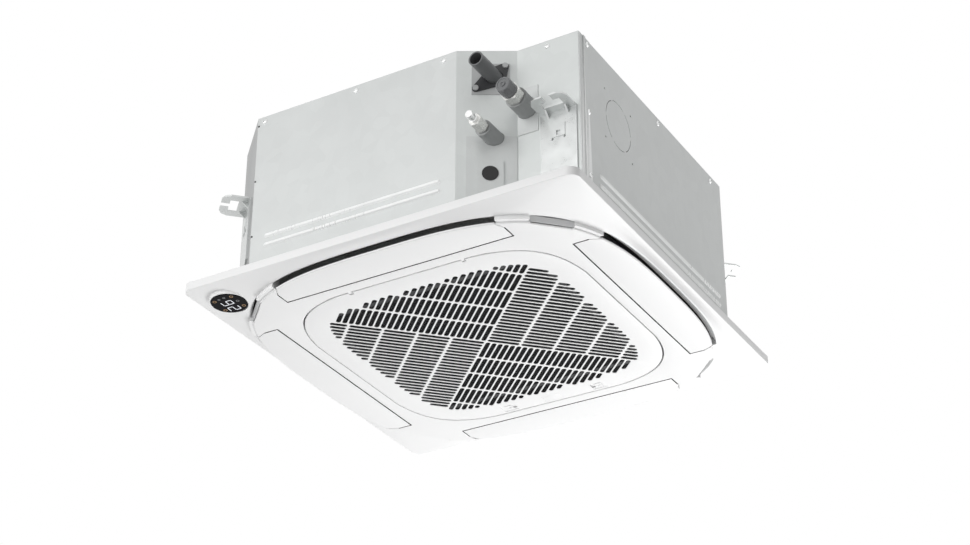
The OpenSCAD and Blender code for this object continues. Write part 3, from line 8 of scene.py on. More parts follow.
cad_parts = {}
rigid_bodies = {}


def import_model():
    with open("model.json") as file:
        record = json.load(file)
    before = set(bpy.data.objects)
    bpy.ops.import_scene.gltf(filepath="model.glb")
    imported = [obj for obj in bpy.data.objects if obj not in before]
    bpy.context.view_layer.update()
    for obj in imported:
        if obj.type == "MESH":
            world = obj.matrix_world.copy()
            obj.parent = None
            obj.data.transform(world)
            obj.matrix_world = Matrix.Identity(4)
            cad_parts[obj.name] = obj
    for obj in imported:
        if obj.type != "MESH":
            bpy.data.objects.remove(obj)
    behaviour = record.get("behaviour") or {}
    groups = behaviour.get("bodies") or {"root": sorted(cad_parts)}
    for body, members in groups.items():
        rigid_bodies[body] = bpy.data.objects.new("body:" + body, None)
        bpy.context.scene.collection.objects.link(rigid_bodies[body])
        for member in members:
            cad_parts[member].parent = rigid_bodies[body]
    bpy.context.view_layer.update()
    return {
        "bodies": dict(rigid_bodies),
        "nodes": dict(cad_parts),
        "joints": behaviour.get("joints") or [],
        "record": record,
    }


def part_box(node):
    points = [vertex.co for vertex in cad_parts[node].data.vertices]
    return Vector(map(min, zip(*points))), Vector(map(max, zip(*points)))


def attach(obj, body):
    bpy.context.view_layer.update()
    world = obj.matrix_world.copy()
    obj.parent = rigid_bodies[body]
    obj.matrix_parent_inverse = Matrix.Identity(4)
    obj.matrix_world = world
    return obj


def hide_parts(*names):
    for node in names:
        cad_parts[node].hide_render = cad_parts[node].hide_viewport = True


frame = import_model()
mm = 0.001                      # lengths below are in millimetres
sink = 0.3                      # how far an added wall or rib runs into what carries it
print("frame loaded:", len(frame["nodes"]), "CAD nodes")


def turned(point, degrees):     # about +Z
    c, s = math.cos(math.radians(degrees)), math.sin(math.radians(degrees))
    return (point[0] * c - point[1] * s, point[0] * s + point[1] * c, *point[2:])


def superPoint(size, power, degrees):
    c, s = math.cos(math.radians(degrees)), math.sin(math.radians(degrees))
    reach = size * (abs(c) ** power + abs(s) ** power) ** (-1 / power)
    return (reach * c, reach * s)


def superHeight(size, power, x):
    return (size ** power - abs(x) ** power) ** (1 / power)


def flatPoint(size, power, degrees, share=1.012):   # superellipse with its sides pressed flat
    x, y = superPoint(size * share, power, degrees)
    return (max(-size, min(size, x)), max(-size, min(size, y)))


def solve(function, low, high):     # where a rising function crosses zero
    for _ in range(50):
        middle = (low + high) / 2
        low, high = (low, middle) if function(middle) > 0 else (middle, high)
    return (low + high) / 2


def smoothRow(points, steps):       # Catmull-Rom through rows of numbers
    row = []
    for i in range(len(points) - 1):
        a, b, c, d = (points[min(max(i + k, 0), len(points) - 1)] for k in (-1, 0, 1, 2))
        for j in range(steps):
            t = j / steps
            row.append(tuple(q + 0.5 * t * (r - p + (2 * p - 5 * q + 4 * r - s) * t + (3 * q - p - 3 * r + s) * t * t)
                             for p, q, r, s in zip(a, b, c, d)))
    return row + [tuple(points[-1])]


def offsetLoop(loop, widths):       # moves each point into the material, which lies on the left
    moved = []
    for i in range(len(loop)):
        before, here, after = (Vector(loop[k % len(loop)][:2]) for k in (i - 1, i, i + 1))
        a, b = (here - before).normalized(), (after - here).normalized()
        a, b = Vector((-a.y, a.x)), Vector((-b.y, b.x))
        shift = (a + b) * (widths[i] / max(1 + a.dot(b), 0.4))      # a sharp corner moves no further than this
        moved.append((here.x + shift.x, here.y + shift.y))
    return moved


def fillLoops(loops):               # triangles between an outline and its holes
    work = bmesh.new()
    rows = [[work.verts.new((p[0], p[1], 0)) for p in loop] for loop in loops]
    edges = [work.edges.new((row[i - 1], row[i])) for row in rows for i in range(len(row))]
    work.verts.index_update()
    bmesh.ops.triangle_fill(work, edges=edges, use_beauty=True, normal=(0, 0, 1))
    triangles = []
    for face in work.faces:
        a, b, c = (v.co for v in face.verts)
        order = [v.index for v in face.verts]
        triangles.append(order if (b - a).cross(c - a).z > 0 else order[::-1])
    work.free()
    return triangles


class MeshBag:                      # collects points and faces of one piece
    def __init__(self):
        self.points, self.faces = [], []

    def add(self, points, faces):
        base = len(self.points)
        self.points += [tuple(p) for p in points]
        self.faces += [tuple(base + i for i in face) for face in faces]

    def loft(self, rings, closed=False, capped=True):
        size, count = len(rings[0]), len(rings)
        faces = []
        for j in range(count if closed else count - 1):
            m = (j + 1) % count
            for i in range(size):
                k = (i + 1) % size
                faces.append((j * size + i, j * size + k, m * size + k, m * size + i))
        if capped and not closed:
            faces += [tuple(range(size - 1, -1, -1)), tuple(range((count - 1) * size, count * size))]
        self.add([p for ring in rings for p in ring], faces)

    def box(self, low, high, edge=0.0):     # with an edge, its upright corners are chamfered
        (x0, y0, z0), (x1, y1, z1) = low, high
        outline = [(x0 + edge, y0), (x1 - edge, y0), (x1, y0 + edge), (x1, y1 - edge),
                   (x1 - edge, y1), (x0 + edge, y1), (x0, y1 - edge), (x0, y0 + edge)] if edge else \
            [(x0, y0), (x1, y0), (x1, y1), (x0, y1)]
        self.loft([[(x, y, z) for x, y in outline] for z in (z0, z1)])

    def turnedShape(self, profile, centre, axis, count, bored=False):       # rows are (radius, along the axis)
        axis, centre = Vector(axis).normalized(), Vector(centre)
        side = axis.orthogonal().normalized()
        turns = [2 * math.pi * i / count for i in range(count)]
        spokes = [side * math.cos(t) + axis.cross(side) * math.sin(t) for t in turns]
        self.loft([[centre + axis * along + spoke * radius for spoke in spokes] for radius, along in profile], bored)

    def prism(self, outline, direction):    # a flat outline of 3-D points pushed along a direction
        self.loft([outline, [tuple(Vector(p) + Vector(direction)) for p in outline]])

    def plate(self, loops, low, high, topEdge=0.4, steps=4):    # loop rows are (x, y, radius of the lower edge)
        lower, upper = [], []
        for loop in loops:
            stack = []
            for k in range(steps + 1):
                t = math.pi / 2 * k / steps
                inner = offsetLoop(loop, [p[2] * (1 - math.sin(t)) for p in loop])
                stack.append([(*q, low + p[2] * (1 - math.cos(t))) for p, q in zip(loop, inner)])
            stack.append([(*p[:2], high - topEdge) for p in loop])
            stack.append([(*q, high) for q in offsetLoop(loop, [topEdge] * len(loop))])
            self.loft(stack, capped=False)
            lower.append(stack[0])
            upper.append(stack[-1])
        self.add([p for row in lower for p in row], [t[::-1] for t in fillLoops(lower)])
        self.add([p for row in upper for p in row], fillLoops(upper))

    def wallRound(self, inner, outer, power, low, high, gaps, count=160):    # gaps: (from x, to x, side of Y)
        rows = [[flatPoint(size, power, 360 * k / count) for k in range(count)] for size in (inner, outer)]
        isOpen = [any(a <= x <= b and y * side > 0 for a, b, side in gaps) for x, y in rows[0]]
        run = []
        first = isOpen.index(True)
        for k in range(first, first + count + 1):
            if not isOpen[k % count]:
                run.append(k % count)
            elif run:
                size = len(run)
                flat = [rows[1][i] for i in run] + [rows[0][i] for i in run[::-1]]
                n, faces = 2 * size, []
                for a in range(size - 1):
                    b, c, d = a + 1, n - 2 - a, n - 1 - a
                    faces += [(a, d, c, b), (a + n, b + n, c + n, d + n)]
                    faces += [(a, b, b + n, a + n), (c, d, d + n, c + n)]
                faces += [(0, n, 2 * n - 1, n - 1), (size - 1, size, size + n, size - 1 + n)]
                self.add([(*q, z) for z in (low, high) for q in flat], faces)
                run = []

    def toObject(self, name, turn=0.0, sharpAngle=35.0):
        mesh = bpy.data.meshes.new(name)
        mesh.from_pydata([tuple(c * mm for c in turned(p, turn)) for p in self.points], [], self.faces)
        work = bmesh.new()
        work.from_mesh(mesh)
        bmesh.ops.remove_doubles(work, verts=work.verts, dist=0.002 * mm)
        bmesh.ops.dissolve_degenerate(work, edges=work.edges, dist=0.001 * mm)
        bmesh.ops.recalc_face_normals(work, faces=work.faces)
        work.to_mesh(mesh)
        work.free()
        return shaded(newObject(name, mesh), sharpAngle)


def newObject(name, data):
    made = bpy.data.objects.new(name, data)
    bpy.context.scene.collection.objects.link(made)
    return made


def shaded(piece, degrees):         # smooth, but for edges that turn by more than this
    piece.data.shade_smooth()
    piece.data.set_sharp_from_angle(angle=math.radians(degrees))
    return piece


def settled(piece):                 # the evaluated shape as a plain mesh, without its modifiers
    graph = bpy.context.evaluated_depsgraph_get()
    seen = piece.evaluated_get(graph)
    mesh = bpy.data.meshes.new_from_object(seen, preserve_all_data_layers=True, depsgraph=graph)
    piece.modifiers.clear()
    old, piece.data = piece.data, mesh
    mesh.name = piece.name
    if old.users == 0:
        bpy.data.meshes.remove(old)
    return piece


def combined(piece, others, operation):     # exact boolean with each of the other pieces
    for other in others:
        step = piece.modifiers.new("step", "BOOLEAN")
        step.solver, step.operation, step.object = "EXACT", operation, other
    settled(piece)
    for other in others:
        bpy.data.objects.remove(other)
    return piece


def joined(piece, *others):         # adds the meshes of other pieces to this one
    work = bmesh.new()
    for source in (piece, *others):
        work.from_mesh(source.data)
    work.to_mesh(piece.data)
    work.free()
    for other in others:
        bpy.data.objects.remove(other)
    return piece


def paint(piece, finish):
    piece.data.materials.clear()
    piece.data.materials.append(finish)
    for face in piece.data.polygons:
        face.material_index = 0


def place(piece, body, finish, replaced="", slot=""):   # the slot argument is not used
    paint(piece, finishes[finish])
    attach(piece, body)
    slot or finish
    if replaced:
        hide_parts(replaced)
    return piece


class Wire:                         # a socket that can be used in sums
    def __init__(self, maker, socket):
        self.maker, self.socket = maker, socket

    def maths(self, operation, *others, first=None):
        values = dict(enumerate((self, *others) if first is None else (first, self)))
        return self.maker.add("ShaderNodeMath", {"operation": operation}, values)

    def __add__(self, other): return self.maths("ADD", other)
    def __sub__(self, other): return self.maths("SUBTRACT", other)
    def __mul__(self, other): return self.maths("MULTIPLY", other)
    def __truediv__(self, other): return self.maths("DIVIDE", other)
    def __pow__(self, other): return self.maths("POWER", other)
    def __gt__(self, other): return self.maths("GREATER_THAN", other)
    def __rsub__(self, other): return self.maths("SUBTRACT", first=other)
    def __rtruediv__(self, other): return self.maths("DIVIDE", first=other)


class Finish:                       # one material, with a Principled shader at its end
    def __init__(self, name, **sockets):
        self.material = bpy.data.materials.new(name)
        self.material.use_nodes = True
        self.tree = self.material.node_tree
        self.tree.nodes.clear()
        self.shader = self.tree.nodes.new("ShaderNodeBsdfPrincipled")
        self.output = self.tree.nodes.new("ShaderNodeOutputMaterial")
        self.tree.links.new(self.shader.outputs[0], self.output.inputs[0])
        self.place = self.add("ShaderNodeTexCoord", {}, {}, "Object")
        self.set(**sockets)

    def plug(self, socket, value):
        if isinstance(value, Wire):
            self.tree.links.new(value.socket, socket)
        elif isinstance(value, tuple) and len(value) == 3 and socket.type == "RGBA":
            socket.default_value = (*value, 1)
        else:
            socket.default_value = value

    def set(self, **sockets):       # Base_Color stands for Base Color
        for name, value in sockets.items():
            self.plug(self.shader.inputs[name.replace("_", " ")], value)
        return self

    def add(self, kind, settings, sockets, output=0):
        node = self.tree.nodes.new(kind)
        for name, value in settings.items():
            setattr(node, name, value)
        for name, value in sockets.items():
            self.plug(node.inputs[name], value)
        return Wire(self, node.outputs[output])

    def stretched(self, stretch):
        return self.add("ShaderNodeMapping", {}, {"Vector": self.place, "Scale": stretch})

    def noise(self, scale, detail=2.0, roughness=0.5, stretch=(1, 1, 1)):
        return self.add("ShaderNodeTexNoise", {}, {
            "Vector": self.stretched(stretch), "Scale": scale, "Detail": detail, "Roughness": roughness})

    def cells(self, scale, output="Distance", feature="F1", stretch=(1, 1, 1)):
        return self.add("ShaderNodeTexVoronoi", {"feature": feature}, {
            "Vector": self.stretched(stretch), "Scale": scale}, output)

    def mix(self, share, first, second):
        return self.add("ShaderNodeMix", {"data_type": "RGBA"}, {"Factor": share, 6: first, 7: second}, 2)

    def between(self, value, low, high, lowTo=0.0, highTo=1.0):
        return self.add("ShaderNodeMapRange", {}, {0: value, 1: low, 2: high, 3: lowTo, 4: highTo})

    def bump(self, height, distance, strength):
        normal = self.add("ShaderNodeBump", {}, {"Height": height, "Distance": distance, "Strength": strength})
        return self.set(Normal=normal)

    def rough(self, share, middle, less, more, low=0.3, high=0.7):      # gloss varies as share goes from low to high
        return self.set(Roughness=self.between(share, low, high, middle - less, middle + more))

    def shadeOf(self, colour, share, amount):       # a little lighter and darker than its colour
        low = tuple(c * (1 - amount) for c in colour)
        high = tuple(min(1, c * (1 + amount)) for c in colour)
        return self.set(Base_Color=self.mix(share, low, high))


sheetLook = {"colour": (0.64, 0.658, 0.652), "metal": 0.25, "gloss": 0.40, "spangle": 55.0, "variation": 0.035}
plasticLook = {"colour": (0.9, 0.902, 0.902), "gloss": 0.36, "grain": 0.00003, "grainScale": 900.0}


def sheetFinish(name, colour=sheetLook["colour"], gloss=sheetLook["gloss"]):
    made = Finish(name, Metallic=sheetLook["metal"])
    spangle = made.add("ShaderNodeSeparateColor", {}, {0: made.cells(sheetLook["spangle"], "Color")})
    cloud = made.noise(9, 3)
    made.shadeOf(colour, spangle * 0.45 + cloud * 0.55, sheetLook["variation"])
    rolled = made.noise(420, 2, 0.6, (1, 1, 0.06))      # fine upright streaks
    made.rough(rolled * 0.5 + cloud * 0.5, gloss, 0.07, 0.09)
    return made.bump(rolled, 0.00004, 0.35).material


def plasticFinish(name, colour=plasticLook["colour"], gloss=plasticLook["gloss"], grain=plasticLook["grain"],
                  ior=1.5):
    made = Finish(name, IOR=ior)
    cloud, skin = made.noise(14, 2), made.noise(plasticLook["grainScale"], 1, 0.4)
    made.shadeOf(colour, cloud, 0.008)
    made.rough(cloud * 0.6 + skin * 0.4, gloss, 0.03, 0.04)
    return made.bump(skin, grain, 0.6).material


def foamFinish(name, colour, cellScale, depth, roughness=0.85):
    made = Finish(name)
    cell, cloud = made.cells(cellScale), made.noise(40, 3)
    made.shadeOf(colour, cell * 0.5 + cloud * 0.6, 0.14)
    made.rough(cell, roughness, 0.12, 0.1, 0, 0.8)
    return made.bump(cell, depth, 0.8).material


def copperFinish(name, colour, gloss):
    made = Finish(name, Metallic=1.0)
    cloud, drawn = made.noise(30, 4), made.noise(260, 2, 0.5, (1, 0.1, 1))
    made.set(Base_Color=made.mix(made.between(cloud, 0.4, 0.75), colour, tuple(c * 0.62 for c in colour)))
    made.rough(drawn * 0.4 + cloud * 0.6, gloss, 0.08, 0.16)
    return made.bump(drawn, 0.00003, 0.4).material


def zincFinish(name, colour, gloss=0.32):
    made = Finish(name, Metallic=0.85)
    cloud, fine = made.noise(60, 4), made.noise(700, 2)
    made.shadeOf(colour, cloud, 0.09)
    made.rough(cloud * 0.5 + fine * 0.5, gloss, 0.08, 0.12)
    return made.bump(fine, 0.00003, 0.4).material


def boardFinish(name):
    made = Finish(name)
    tracks = made.cells(260, "Distance", "DISTANCE_TO_EDGE", (1, 1, 0.2))
    made.set(Base_Color=made.mix(tracks > 0.12, (0.16, 0.32, 0.12), (0.02, 0.12, 0.05)))
    made.set(Roughness=made.between(tracks, 0, 0.5, 0.5, 0.34))
    return made.bump(tracks, 0.00005, 0.4).material


def coilFinish(name, finPitch=1.5):     # edges of thin fins that stand upright, with painted shade in the gaps between them
    made = Finish(name, Metallic=0.8)
    x, y = (made.add("ShaderNodeSeparateXYZ", {}, {0: made.place}, k) for k in (0, 1))
    cloud = made.noise(22, 3)
    finsAndGapShade = ((x + y) * (2 * math.pi / (finPitch * mm))).maths("SINE")
    # the dark colour is painted shade in the gaps between the fins, the light one the fin edges
    made.set(Base_Color=made.mix(made.between(finsAndGapShade, -0.2, 0.6), (0.10, 0.11, 0.12), (0.72, 0.74, 0.76)))
    made.set(Roughness=made.between(cloud, 0.3, 0.7, 0.3, 0.5))
    return made.bump(finsAndGapShade, 0.0004, 0.5).material


def netFinish(name, colour):
    made = Finish(name, IOR=1.2)
    cloud, fine = made.noise(30, 3), made.noise(1500, 1)
    made.shadeOf(colour, cloud, 0.2)
    made.set(Roughness=made.between(fine, 0.3, 0.7, 0.5, 0.75))
    return made.bump(fine, 0.00005, 0.5).material


def glowFinish(name, colour):
    made = Finish(name, Base_Color=(0.02, 0.02, 0.02), Roughness=0.4, Emission_Strength=1.0)
    cloud = made.noise(300, 1)
    made.set(Emission_Color=made.mix(cloud, tuple(c * 0.92 for c in colour), colour))
    return made.material


finishes = {
    "galvanised_sheet": sheetFinish("galvanisedSheet"),
    "corner_sheet": sheetFinish("cornerSheet", (0.33, 0.337, 0.337)),
    "zinc": zincFinish("zincPlate", (0.62, 0.635, 0.63)),
    "copper": copperFinish("drawnCopper", (0.78, 0.40, 0.26), 0.3),
    "flare_brass": zincFinish("platedNut", (0.74, 0.74, 0.72), 0.24),
    "pipe_foam": foamFinish("pipeFoam", (0.37, 0.38, 0.38), 1400, 0.0002),
    "black_foam": foamFinish("blackFoam", (0.02, 0.02, 0.021), 1200, 0.0003),
    "white_foam": foamFinish("whiteFoam", (0.80, 0.80, 0.79), 300, 0.0003, 0.6),
    "fins": coilFinish("finStock"),
    "white_plastic": plasticFinish("whitePanel"),
    "grey_plastic": plasticFinish("greyMoulding", (0.40, 0.41, 0.42), 0.42),
    "dark_plastic": plasticFinish("darkMoulding", (0.035, 0.036, 0.038), 0.4, 0.00005),
    "black_rubber": foamFinish("blackRubber", (0.012, 0.012, 0.012), 2600, 0.00005, 0.6),
    "motor_can": plasticFinish("motorPaint", (0.055, 0.058, 0.062), 0.36, 0.00006),
    "filter_net": netFinish("filterNet", (0.010, 0.010, 0.011)),
    "board": boardFinish("circuitBoard"),
    "lens": plasticFinish("smokedLens", (0.006, 0.006, 0.007), 0.2, 0.00001, ior=1.1),
    "drain_grey": plasticFinish("drainGrey", (0.15, 0.154, 0.158), 0.4),
    "cap_grey": plasticFinish("capGrey", (0.19, 0.195, 0.2), 0.25),
    "cap_silver": zincFinish("capSilver", (0.86, 0.865, 0.86), 0.28),
    "cover_sheet": sheetFinish("coverSheet", (0.44, 0.45, 0.45)),
    # painted highlight: a lighter copy of the sheet, put on the crests of the pressed beads
    "bead_highlight": sheetFinish("pressedBead", (0.90, 0.91, 0.905), gloss=0.3),
    # plated screw metal, lighter than the zinc slot: partly the heads' own plating, partly a painted highlight on
    # their domes
    "lit_screw_metal": zincFinish("screwMetal", (0.80, 0.81, 0.805), 0.26),
    "vane_grey": plasticFinish("vaneGrey", (0.66, 0.665, 0.67), 0.4),
    # painted light: a lighter copy of the galvanised sheet that brightens the pipe corner panel's faces
    "lit_pipe_sheet": sheetFinish("pipeSheet", (0.69, 0.715, 0.705)),
    "float_orange": plasticFinish("floatOrange", (0.72, 0.22, 0.03), 0.4),
    "digit_white": glowFinish("litDigit", (0.92, 0.95, 1.0)),
    "digit_amber": glowFinish("litMark", (0.30, 0.165, 0.055)),
    "digit_grey": glowFinish("dimMark", (0.16, 0.165, 0.17)),
}
slotOf = {row["node"]: row["material_slot"] for row in frame["record"]["subparts"]}
ownFinish = {                       # nodes with another finish than their slot's
    "drain_tube": "drain_grey", "drain_cover_plate": "cover_sheet", "corner_vanes": "vane_grey",
    # the pipe corner panel takes the lighter copy of the sheet as painted light
    "pipe_corner_panel": "lit_pipe_sheet", "filter_frame": "dark_plastic"}
for name, piece in frame["nodes"].items():
    paint(piece, finishes[ownFinish.get(name, slotOf[name])])
print("finishes made:", len(finishes))


def seal(piece, inside, finish="black_foam"):       # a second finish on the faces that a test picks; the black foam default is painted shade round the outlet and the louvres
    piece.data.materials.append(finishes[finish])
    for face in piece.data.polygons:
        if inside(*(c / mm for c in face.center)):
            face.material_index = 1


# Casing: its outline from above, the screws on it, and second finishes on two of its pressings, one of them a painted
# highlight on the bead crests
casing = {
    "half": 285.0,
    "corners": [(-214.5, -285), (118.2, -285), (190.5, -243.4), (285, -243.4), (285, 214.5), (214.5, 285),
                (-214.5, 285), (-285, 214.5), (-285, -214.5)],
    "screws": {                     # corner that a side starts from: (distance from it, height)
        0: [(11.6, 251), (168.0, 251), (312.7, 251)], 2: [(47.25, 251)],
        3: [(24, 251), (24, 40.3), (24, 140.4), (245.0, 251), (423.6, 251)],
        5: [(15.0, 251), (216.6, 251), (403.3, 251)], 7: [(15.0, 251), (216.6, 251), (403.3, 251)]},
    "beadTop": 110.0, "beadProud": 0.1,
    "plug": {"along": 46.5, "height": 58.6, "radius": 11.6, "proud": 3.3},
}


def onPlug(x, y, z):                # rubber plug of the cable passage, on the slanted face
    plug, (a, b) = casing["plug"], (Vector(corner) for corner in casing["corners"][1:3])
    ahead, here = (b - a).normalized(), Vector((x, y)) - a
    away = math.hypot(here.dot(ahead) - plug["along"], z - plug["height"])
    return here.cross(ahead) > plug["proud"] and away < plug["radius"]


def onBead(x, y, z):                # crests of the pressed beads, on the -Y and +X sides, painted lighter as their highlight
    return max(x, -y) > casing["half"] + casing["beadProud"] and z < casing["beadTop"]


seal(frame["nodes"]["pipe_cover_plate"], onPlug, "black_rubber")
for name in ("front_panel", "right_panel"):
    seal(frame["nodes"][name], onBead, "bead_highlight")


gap = {"low": -29.85, "near": 0.4, "past": 0.5, "width": 26.0}      # round the louvres, where it looks black: painted shade, the black foam finish on the walls there


def inGap(x, y, z, edge, side):     # walls of a gap whose sides stand at edge and at plus and minus side, which take painted shade
    far, near = max(abs(x), abs(y)), min(abs(x), abs(y))
    along = abs(far - edge) < gap["near"] and near < side + gap["past"]
    across = abs(near - side) < gap["near"] and edge < far < edge + gap["width"]
    return z > gap["low"] and (along or across)


# Panel frame: sloped rim, inner lip, duct collar and the bridges that carry the centre face
panelFrame = {
    "half": 310.0, "cornerRadius": 15.0, "rimHeight": 12.4, "rimRound": 1.2, "wall": 2.5,
    "lipSize": 300.0, "lipPower": 3.2, "lipDrop": 21.8, "collarSize": 271.5, "collarPower": 4.5,
    "collarWall": 2.5, "sealHeight": 4.0, "perStep": 5, "sideSteps": 8, "arcSteps": 6, "fanAngle": 36.0,
    "slope": [(0, 0), (0.3, 0.16), (0.58, 0.42), (0.8, 0.74), (0.93, 0.94), (1, 1)],
    "bridgeIn": 285.0, "bridgeOut": 299.0, "bridgeLow": -27.5, "bridgeEdge": 175.5, "notchEdge": 31.0,
    "lensPlace": (-262.0, -262.0), "lensHole": 26.3, "lensRing": 28.5, "lensRingLow": -19.9, "lensRingTop": -4.0,
    "lensEdge": 0.4, "lensBevel": 0.35, "lipEdge": [(0, 0.12), (0.5, 0), (1.0, 0.16), (1.3, 0.6)],
    "lensCut": (9.0, 5.0),          # reach of the hole's cutter, below the ring and above the ceiling
    "backEdge": (1.5, 3.0), "shadeAbove": -14.5, "shadeSize": 298.2,
}
face = {
    "drop": 30.0, "size": 294.0, "power": 3.2, "thickness": 2.5, "edge": 236.6, "window": 180.5,
    "shoulder": 24.0, "taper": 7.0, "notchIn": 329.99, "notchHalf": 29.0, "openSize": 218.5, "openPower": 4.1,
    "outerRound": 2.3, "innerRound": 0.8, "notchRound": 1.0, "cornerRound": 0.6, "windowRound": 0.5,
    "relief": (105.0, 38.0, 1.0),   # from x, width, depth
    "wall": 2.5, "wallStart": 2.2, "ductHalf": 175.0, "cheek": (4.0, 14.0, 17.2, 0.6),
    "tab": ((-8, 208.5, -5), (8, 220, -2), 1.5), "hingeGap": 15.0, "shadeAbove": -27.6, "shadeFrom": 233.0,
}
hinge = {                           # of the grille, in ears on the centre face
    "x": 90.0, "y": -214.7, "z": -28.4, "pin": 0.95, "ear": (1.5, 5.0), "barrel": (1.6, 5.0),
    "barrelPlace": 5.5, "armBack": -221.0, "armHeights": (-29.9, -26.9), "cut": 4.0,
}


def panelRow(pointAt):              # takes the shares of a half side, of the corner and of the next half side
    p, row = panelFrame, []
    side, arc, n = p["sideSteps"], p["arcSteps"], p["perStep"]
    for quarter in range(4):
        for k in range((2 * side + arc) * n):
            u = k / n
            shares = min(u / side, 1), min(max((u - side) / arc, 0), 1), max((u - side - arc) / side, 0)
            row.append(turned(pointAt(*shares), 90 * quarter))
    return row


def rimRow(inset):                  # the square rim
    radius = panelFrame["cornerRadius"] - inset
    flat = panelFrame["half"] - panelFrame["cornerRadius"]

    def pointAt(first, corner, last):
        t = math.radians(90 * corner)
        return (flat * (1 - last) + radius * math.cos(t), flat * first + radius * math.sin(t))
    return panelRow(pointAt)


def lipRow(inset, shape="lip"):     # the round-cornered lip, or the collar
    p, fan = panelFrame, panelFrame["fanAngle"]
    size, power = p[shape + "Size"] - inset, p[shape + "Power"]

    def pointAt(first, corner, last):
        return superPoint(size, power, fan * (first + last) + (90 - 2 * fan) * corner)
    return panelRow(pointAt)


def atHeight(row, z):
    return [(x, y, z) for x, y in row]


def between(first, second, share):
    return [tuple(a + (b - a) * share for a, b in zip(p, q)) for p, q in zip(first, second)]


def makePanelShell():
    p = panelFrame
    wall, edge, drop = p["wall"], p["rimRound"], p["lipDrop"] - p["rimHeight"]
    rings = [atHeight(rimRow(0), 0)]
    for k in range(5):              # rounded lower edge of the rim
        t = math.pi / 2 * k / 4
        rings.append(atHeight(rimRow(edge * (1 - math.cos(t))), edge * (1 - math.sin(t)) - p["rimHeight"]))
    rimIn, rimWall, lip = rimRow(edge), rimRow(wall), lipRow(0)
    for share, depth in smoothRow(p["slope"], 5)[1:-1]:
        rings.append(atHeight(between(rimIn, lip, share), -p["rimHeight"] - drop * depth))
    for inset, rise in p["lipEdge"]:
        rings.append(atHeight(lipRow(inset), rise - p["lipDrop"]))
    lipIn, collar, rise = lipRow(inset), lipRow(0, "collar"), rise - p["lipDrop"]
    for k in range(1, 6):           # sloping wall up to the duct
        rings.append(atHeight(between(lipIn, collar, k / 5), rise - (rise + p["sealHeight"]) * k / 5))
    rings.append(atHeight(lipRow(-p["collarWall"], "collar"), -p["sealHeight"]))
    inset, rise = p["backEdge"]
    rings.append(atHeight(lipRow(inset), rise - p["lipDrop"]))
    for share, depth in p["slope"][3], p["slope"][1], p["slope"][0]:        # back of the slope, in fewer steps
        rings.append(atHeight(between(rimWall, lip, share), wall - p["rimHeight"] - drop * depth))
    bag = MeshBag()
    bag.loft(rings + [atHeight(rimWall, 0)], closed=True)
    return bag.toObject("panelFrame", sharpAngle=40)


def makeBridges():                  # eight arcs that carry the centre face, two at each corner
    p, bag = panelFrame, MeshBag()

    def arc(size):
        def at(angle):
            return superPoint(size, face["power"], angle)
        start = solve(lambda a: at(a)[1] - p["bridgeEdge"], 10, 60)
        stop = solve(lambda a: p["notchEdge"] - (at(a)[0] - at(a)[1]) / math.sqrt(2), 10, 45)
        return [at(start + (stop - start) * k / 12) for k in range(13)]

    outline = arc(p["bridgeOut"]) + arc(p["bridgeIn"])[::-1]
    for quarter in range(4):
        for half in outline, [(y, x) for x, y in outline[::-1]]:
            half = [turned(q, 90 * quarter) for q in half]
            bag.loft([atHeight(half, z) for z in (p["bridgeLow"], -p["sealHeight"])])
    return bag.toObject("bridges")


def makePanelFrame():
    p, rim, hole = panelFrame, MeshBag(), MeshBag()
    centre, low, bore, radius = (*p["lensPlace"], 0), p["lensRingLow"], p["lensHole"], p["lensRing"]
    (below, above), edge, bevel = p["lensCut"], p["lensEdge"], p["lensBevel"]
    rim.turnedShape([(radius - edge, low), (radius, low + edge), (radius, p["lensRingTop"])], centre, (0, 0, 1), 96)
    hole.turnedShape([(bore + bevel, low - below), (bore + bevel, low), (bore, low + bevel), (bore, above)],
                     centre, (0, 0, 1), 96)
    shell = combined(makePanelShell(), [rim.toObject("lensRim"), makeBridges()], "UNION")
    return shaded(combined(shell, [hole.toObject("lensHole")], "DIFFERENCE"), 32)


# painted shade: the white collar walls above this height take the black foam finish, for the dark inside the outlet
def inPanelDuct(x, y, z):
    p, power = panelFrame, panelFrame["lipPower"]
    return z > p["shadeAbove"] and (abs(x) ** power + abs(y) ** power) ** (1 / power) < p["shadeSize"]


seal(place(makePanelFrame(), "housing", "white_plastic", "panel_frame"), inPanelDuct)
print("panel frame made")


def diagonal(x, y):                 # to the corner's own directions, and back
    return ((y - x) / math.sqrt(2), (x + y) / math.sqrt(2))


def centreOutline(steps=40):        # its louvre windows share one curve with the louvres, so that the gaps stay even
    f, points = face, []

    def disc(angle):
        return superPoint(f["size"], f["power"], angle)

    slope, y0 = f["taper"] / (f["shoulder"] * 2 / 3), f["edge"] + f["shoulder"]
    meet = solve(lambda y: y - superHeight(f["size"], f["power"], f["window"] - (y - y0) * slope), y0, y0 + 30)
    sideAngle = solve(lambda a: f["window"] - (meet - y0) * slope - disc(a)[0], 45, 90)
    notchAngle = solve(lambda a: diagonal(*disc(a))[0] - f["notchHalf"], 45, 80)
    half = [(*diagonal(t * f["notchHalf"], f["notchIn"]), f["notchRound"]) for t in (0, 0.5, 1)]
    for k in range(steps + 1):      # from the corner's middle to the window at +Y
        width = f["outerRound"] if 0 < k < steps else f["notchRound"]
        half.append((*disc(notchAngle + (sideAngle - notchAngle) * k / steps), width))
    window, edge, e, radius = f["window"], f["edge"], f["cornerRound"], f["windowRound"]
    half += [(window, y0, f["innerRound"]), (window, edge + e, radius), (window - e, edge, radius)]
    for quarter in range(4):
        mirrored = [(q[1], q[0], q[2]) for q in half[:0:-1]]
        points += [turned(q, 90 * quarter) for q in mirrored + half]
    return points


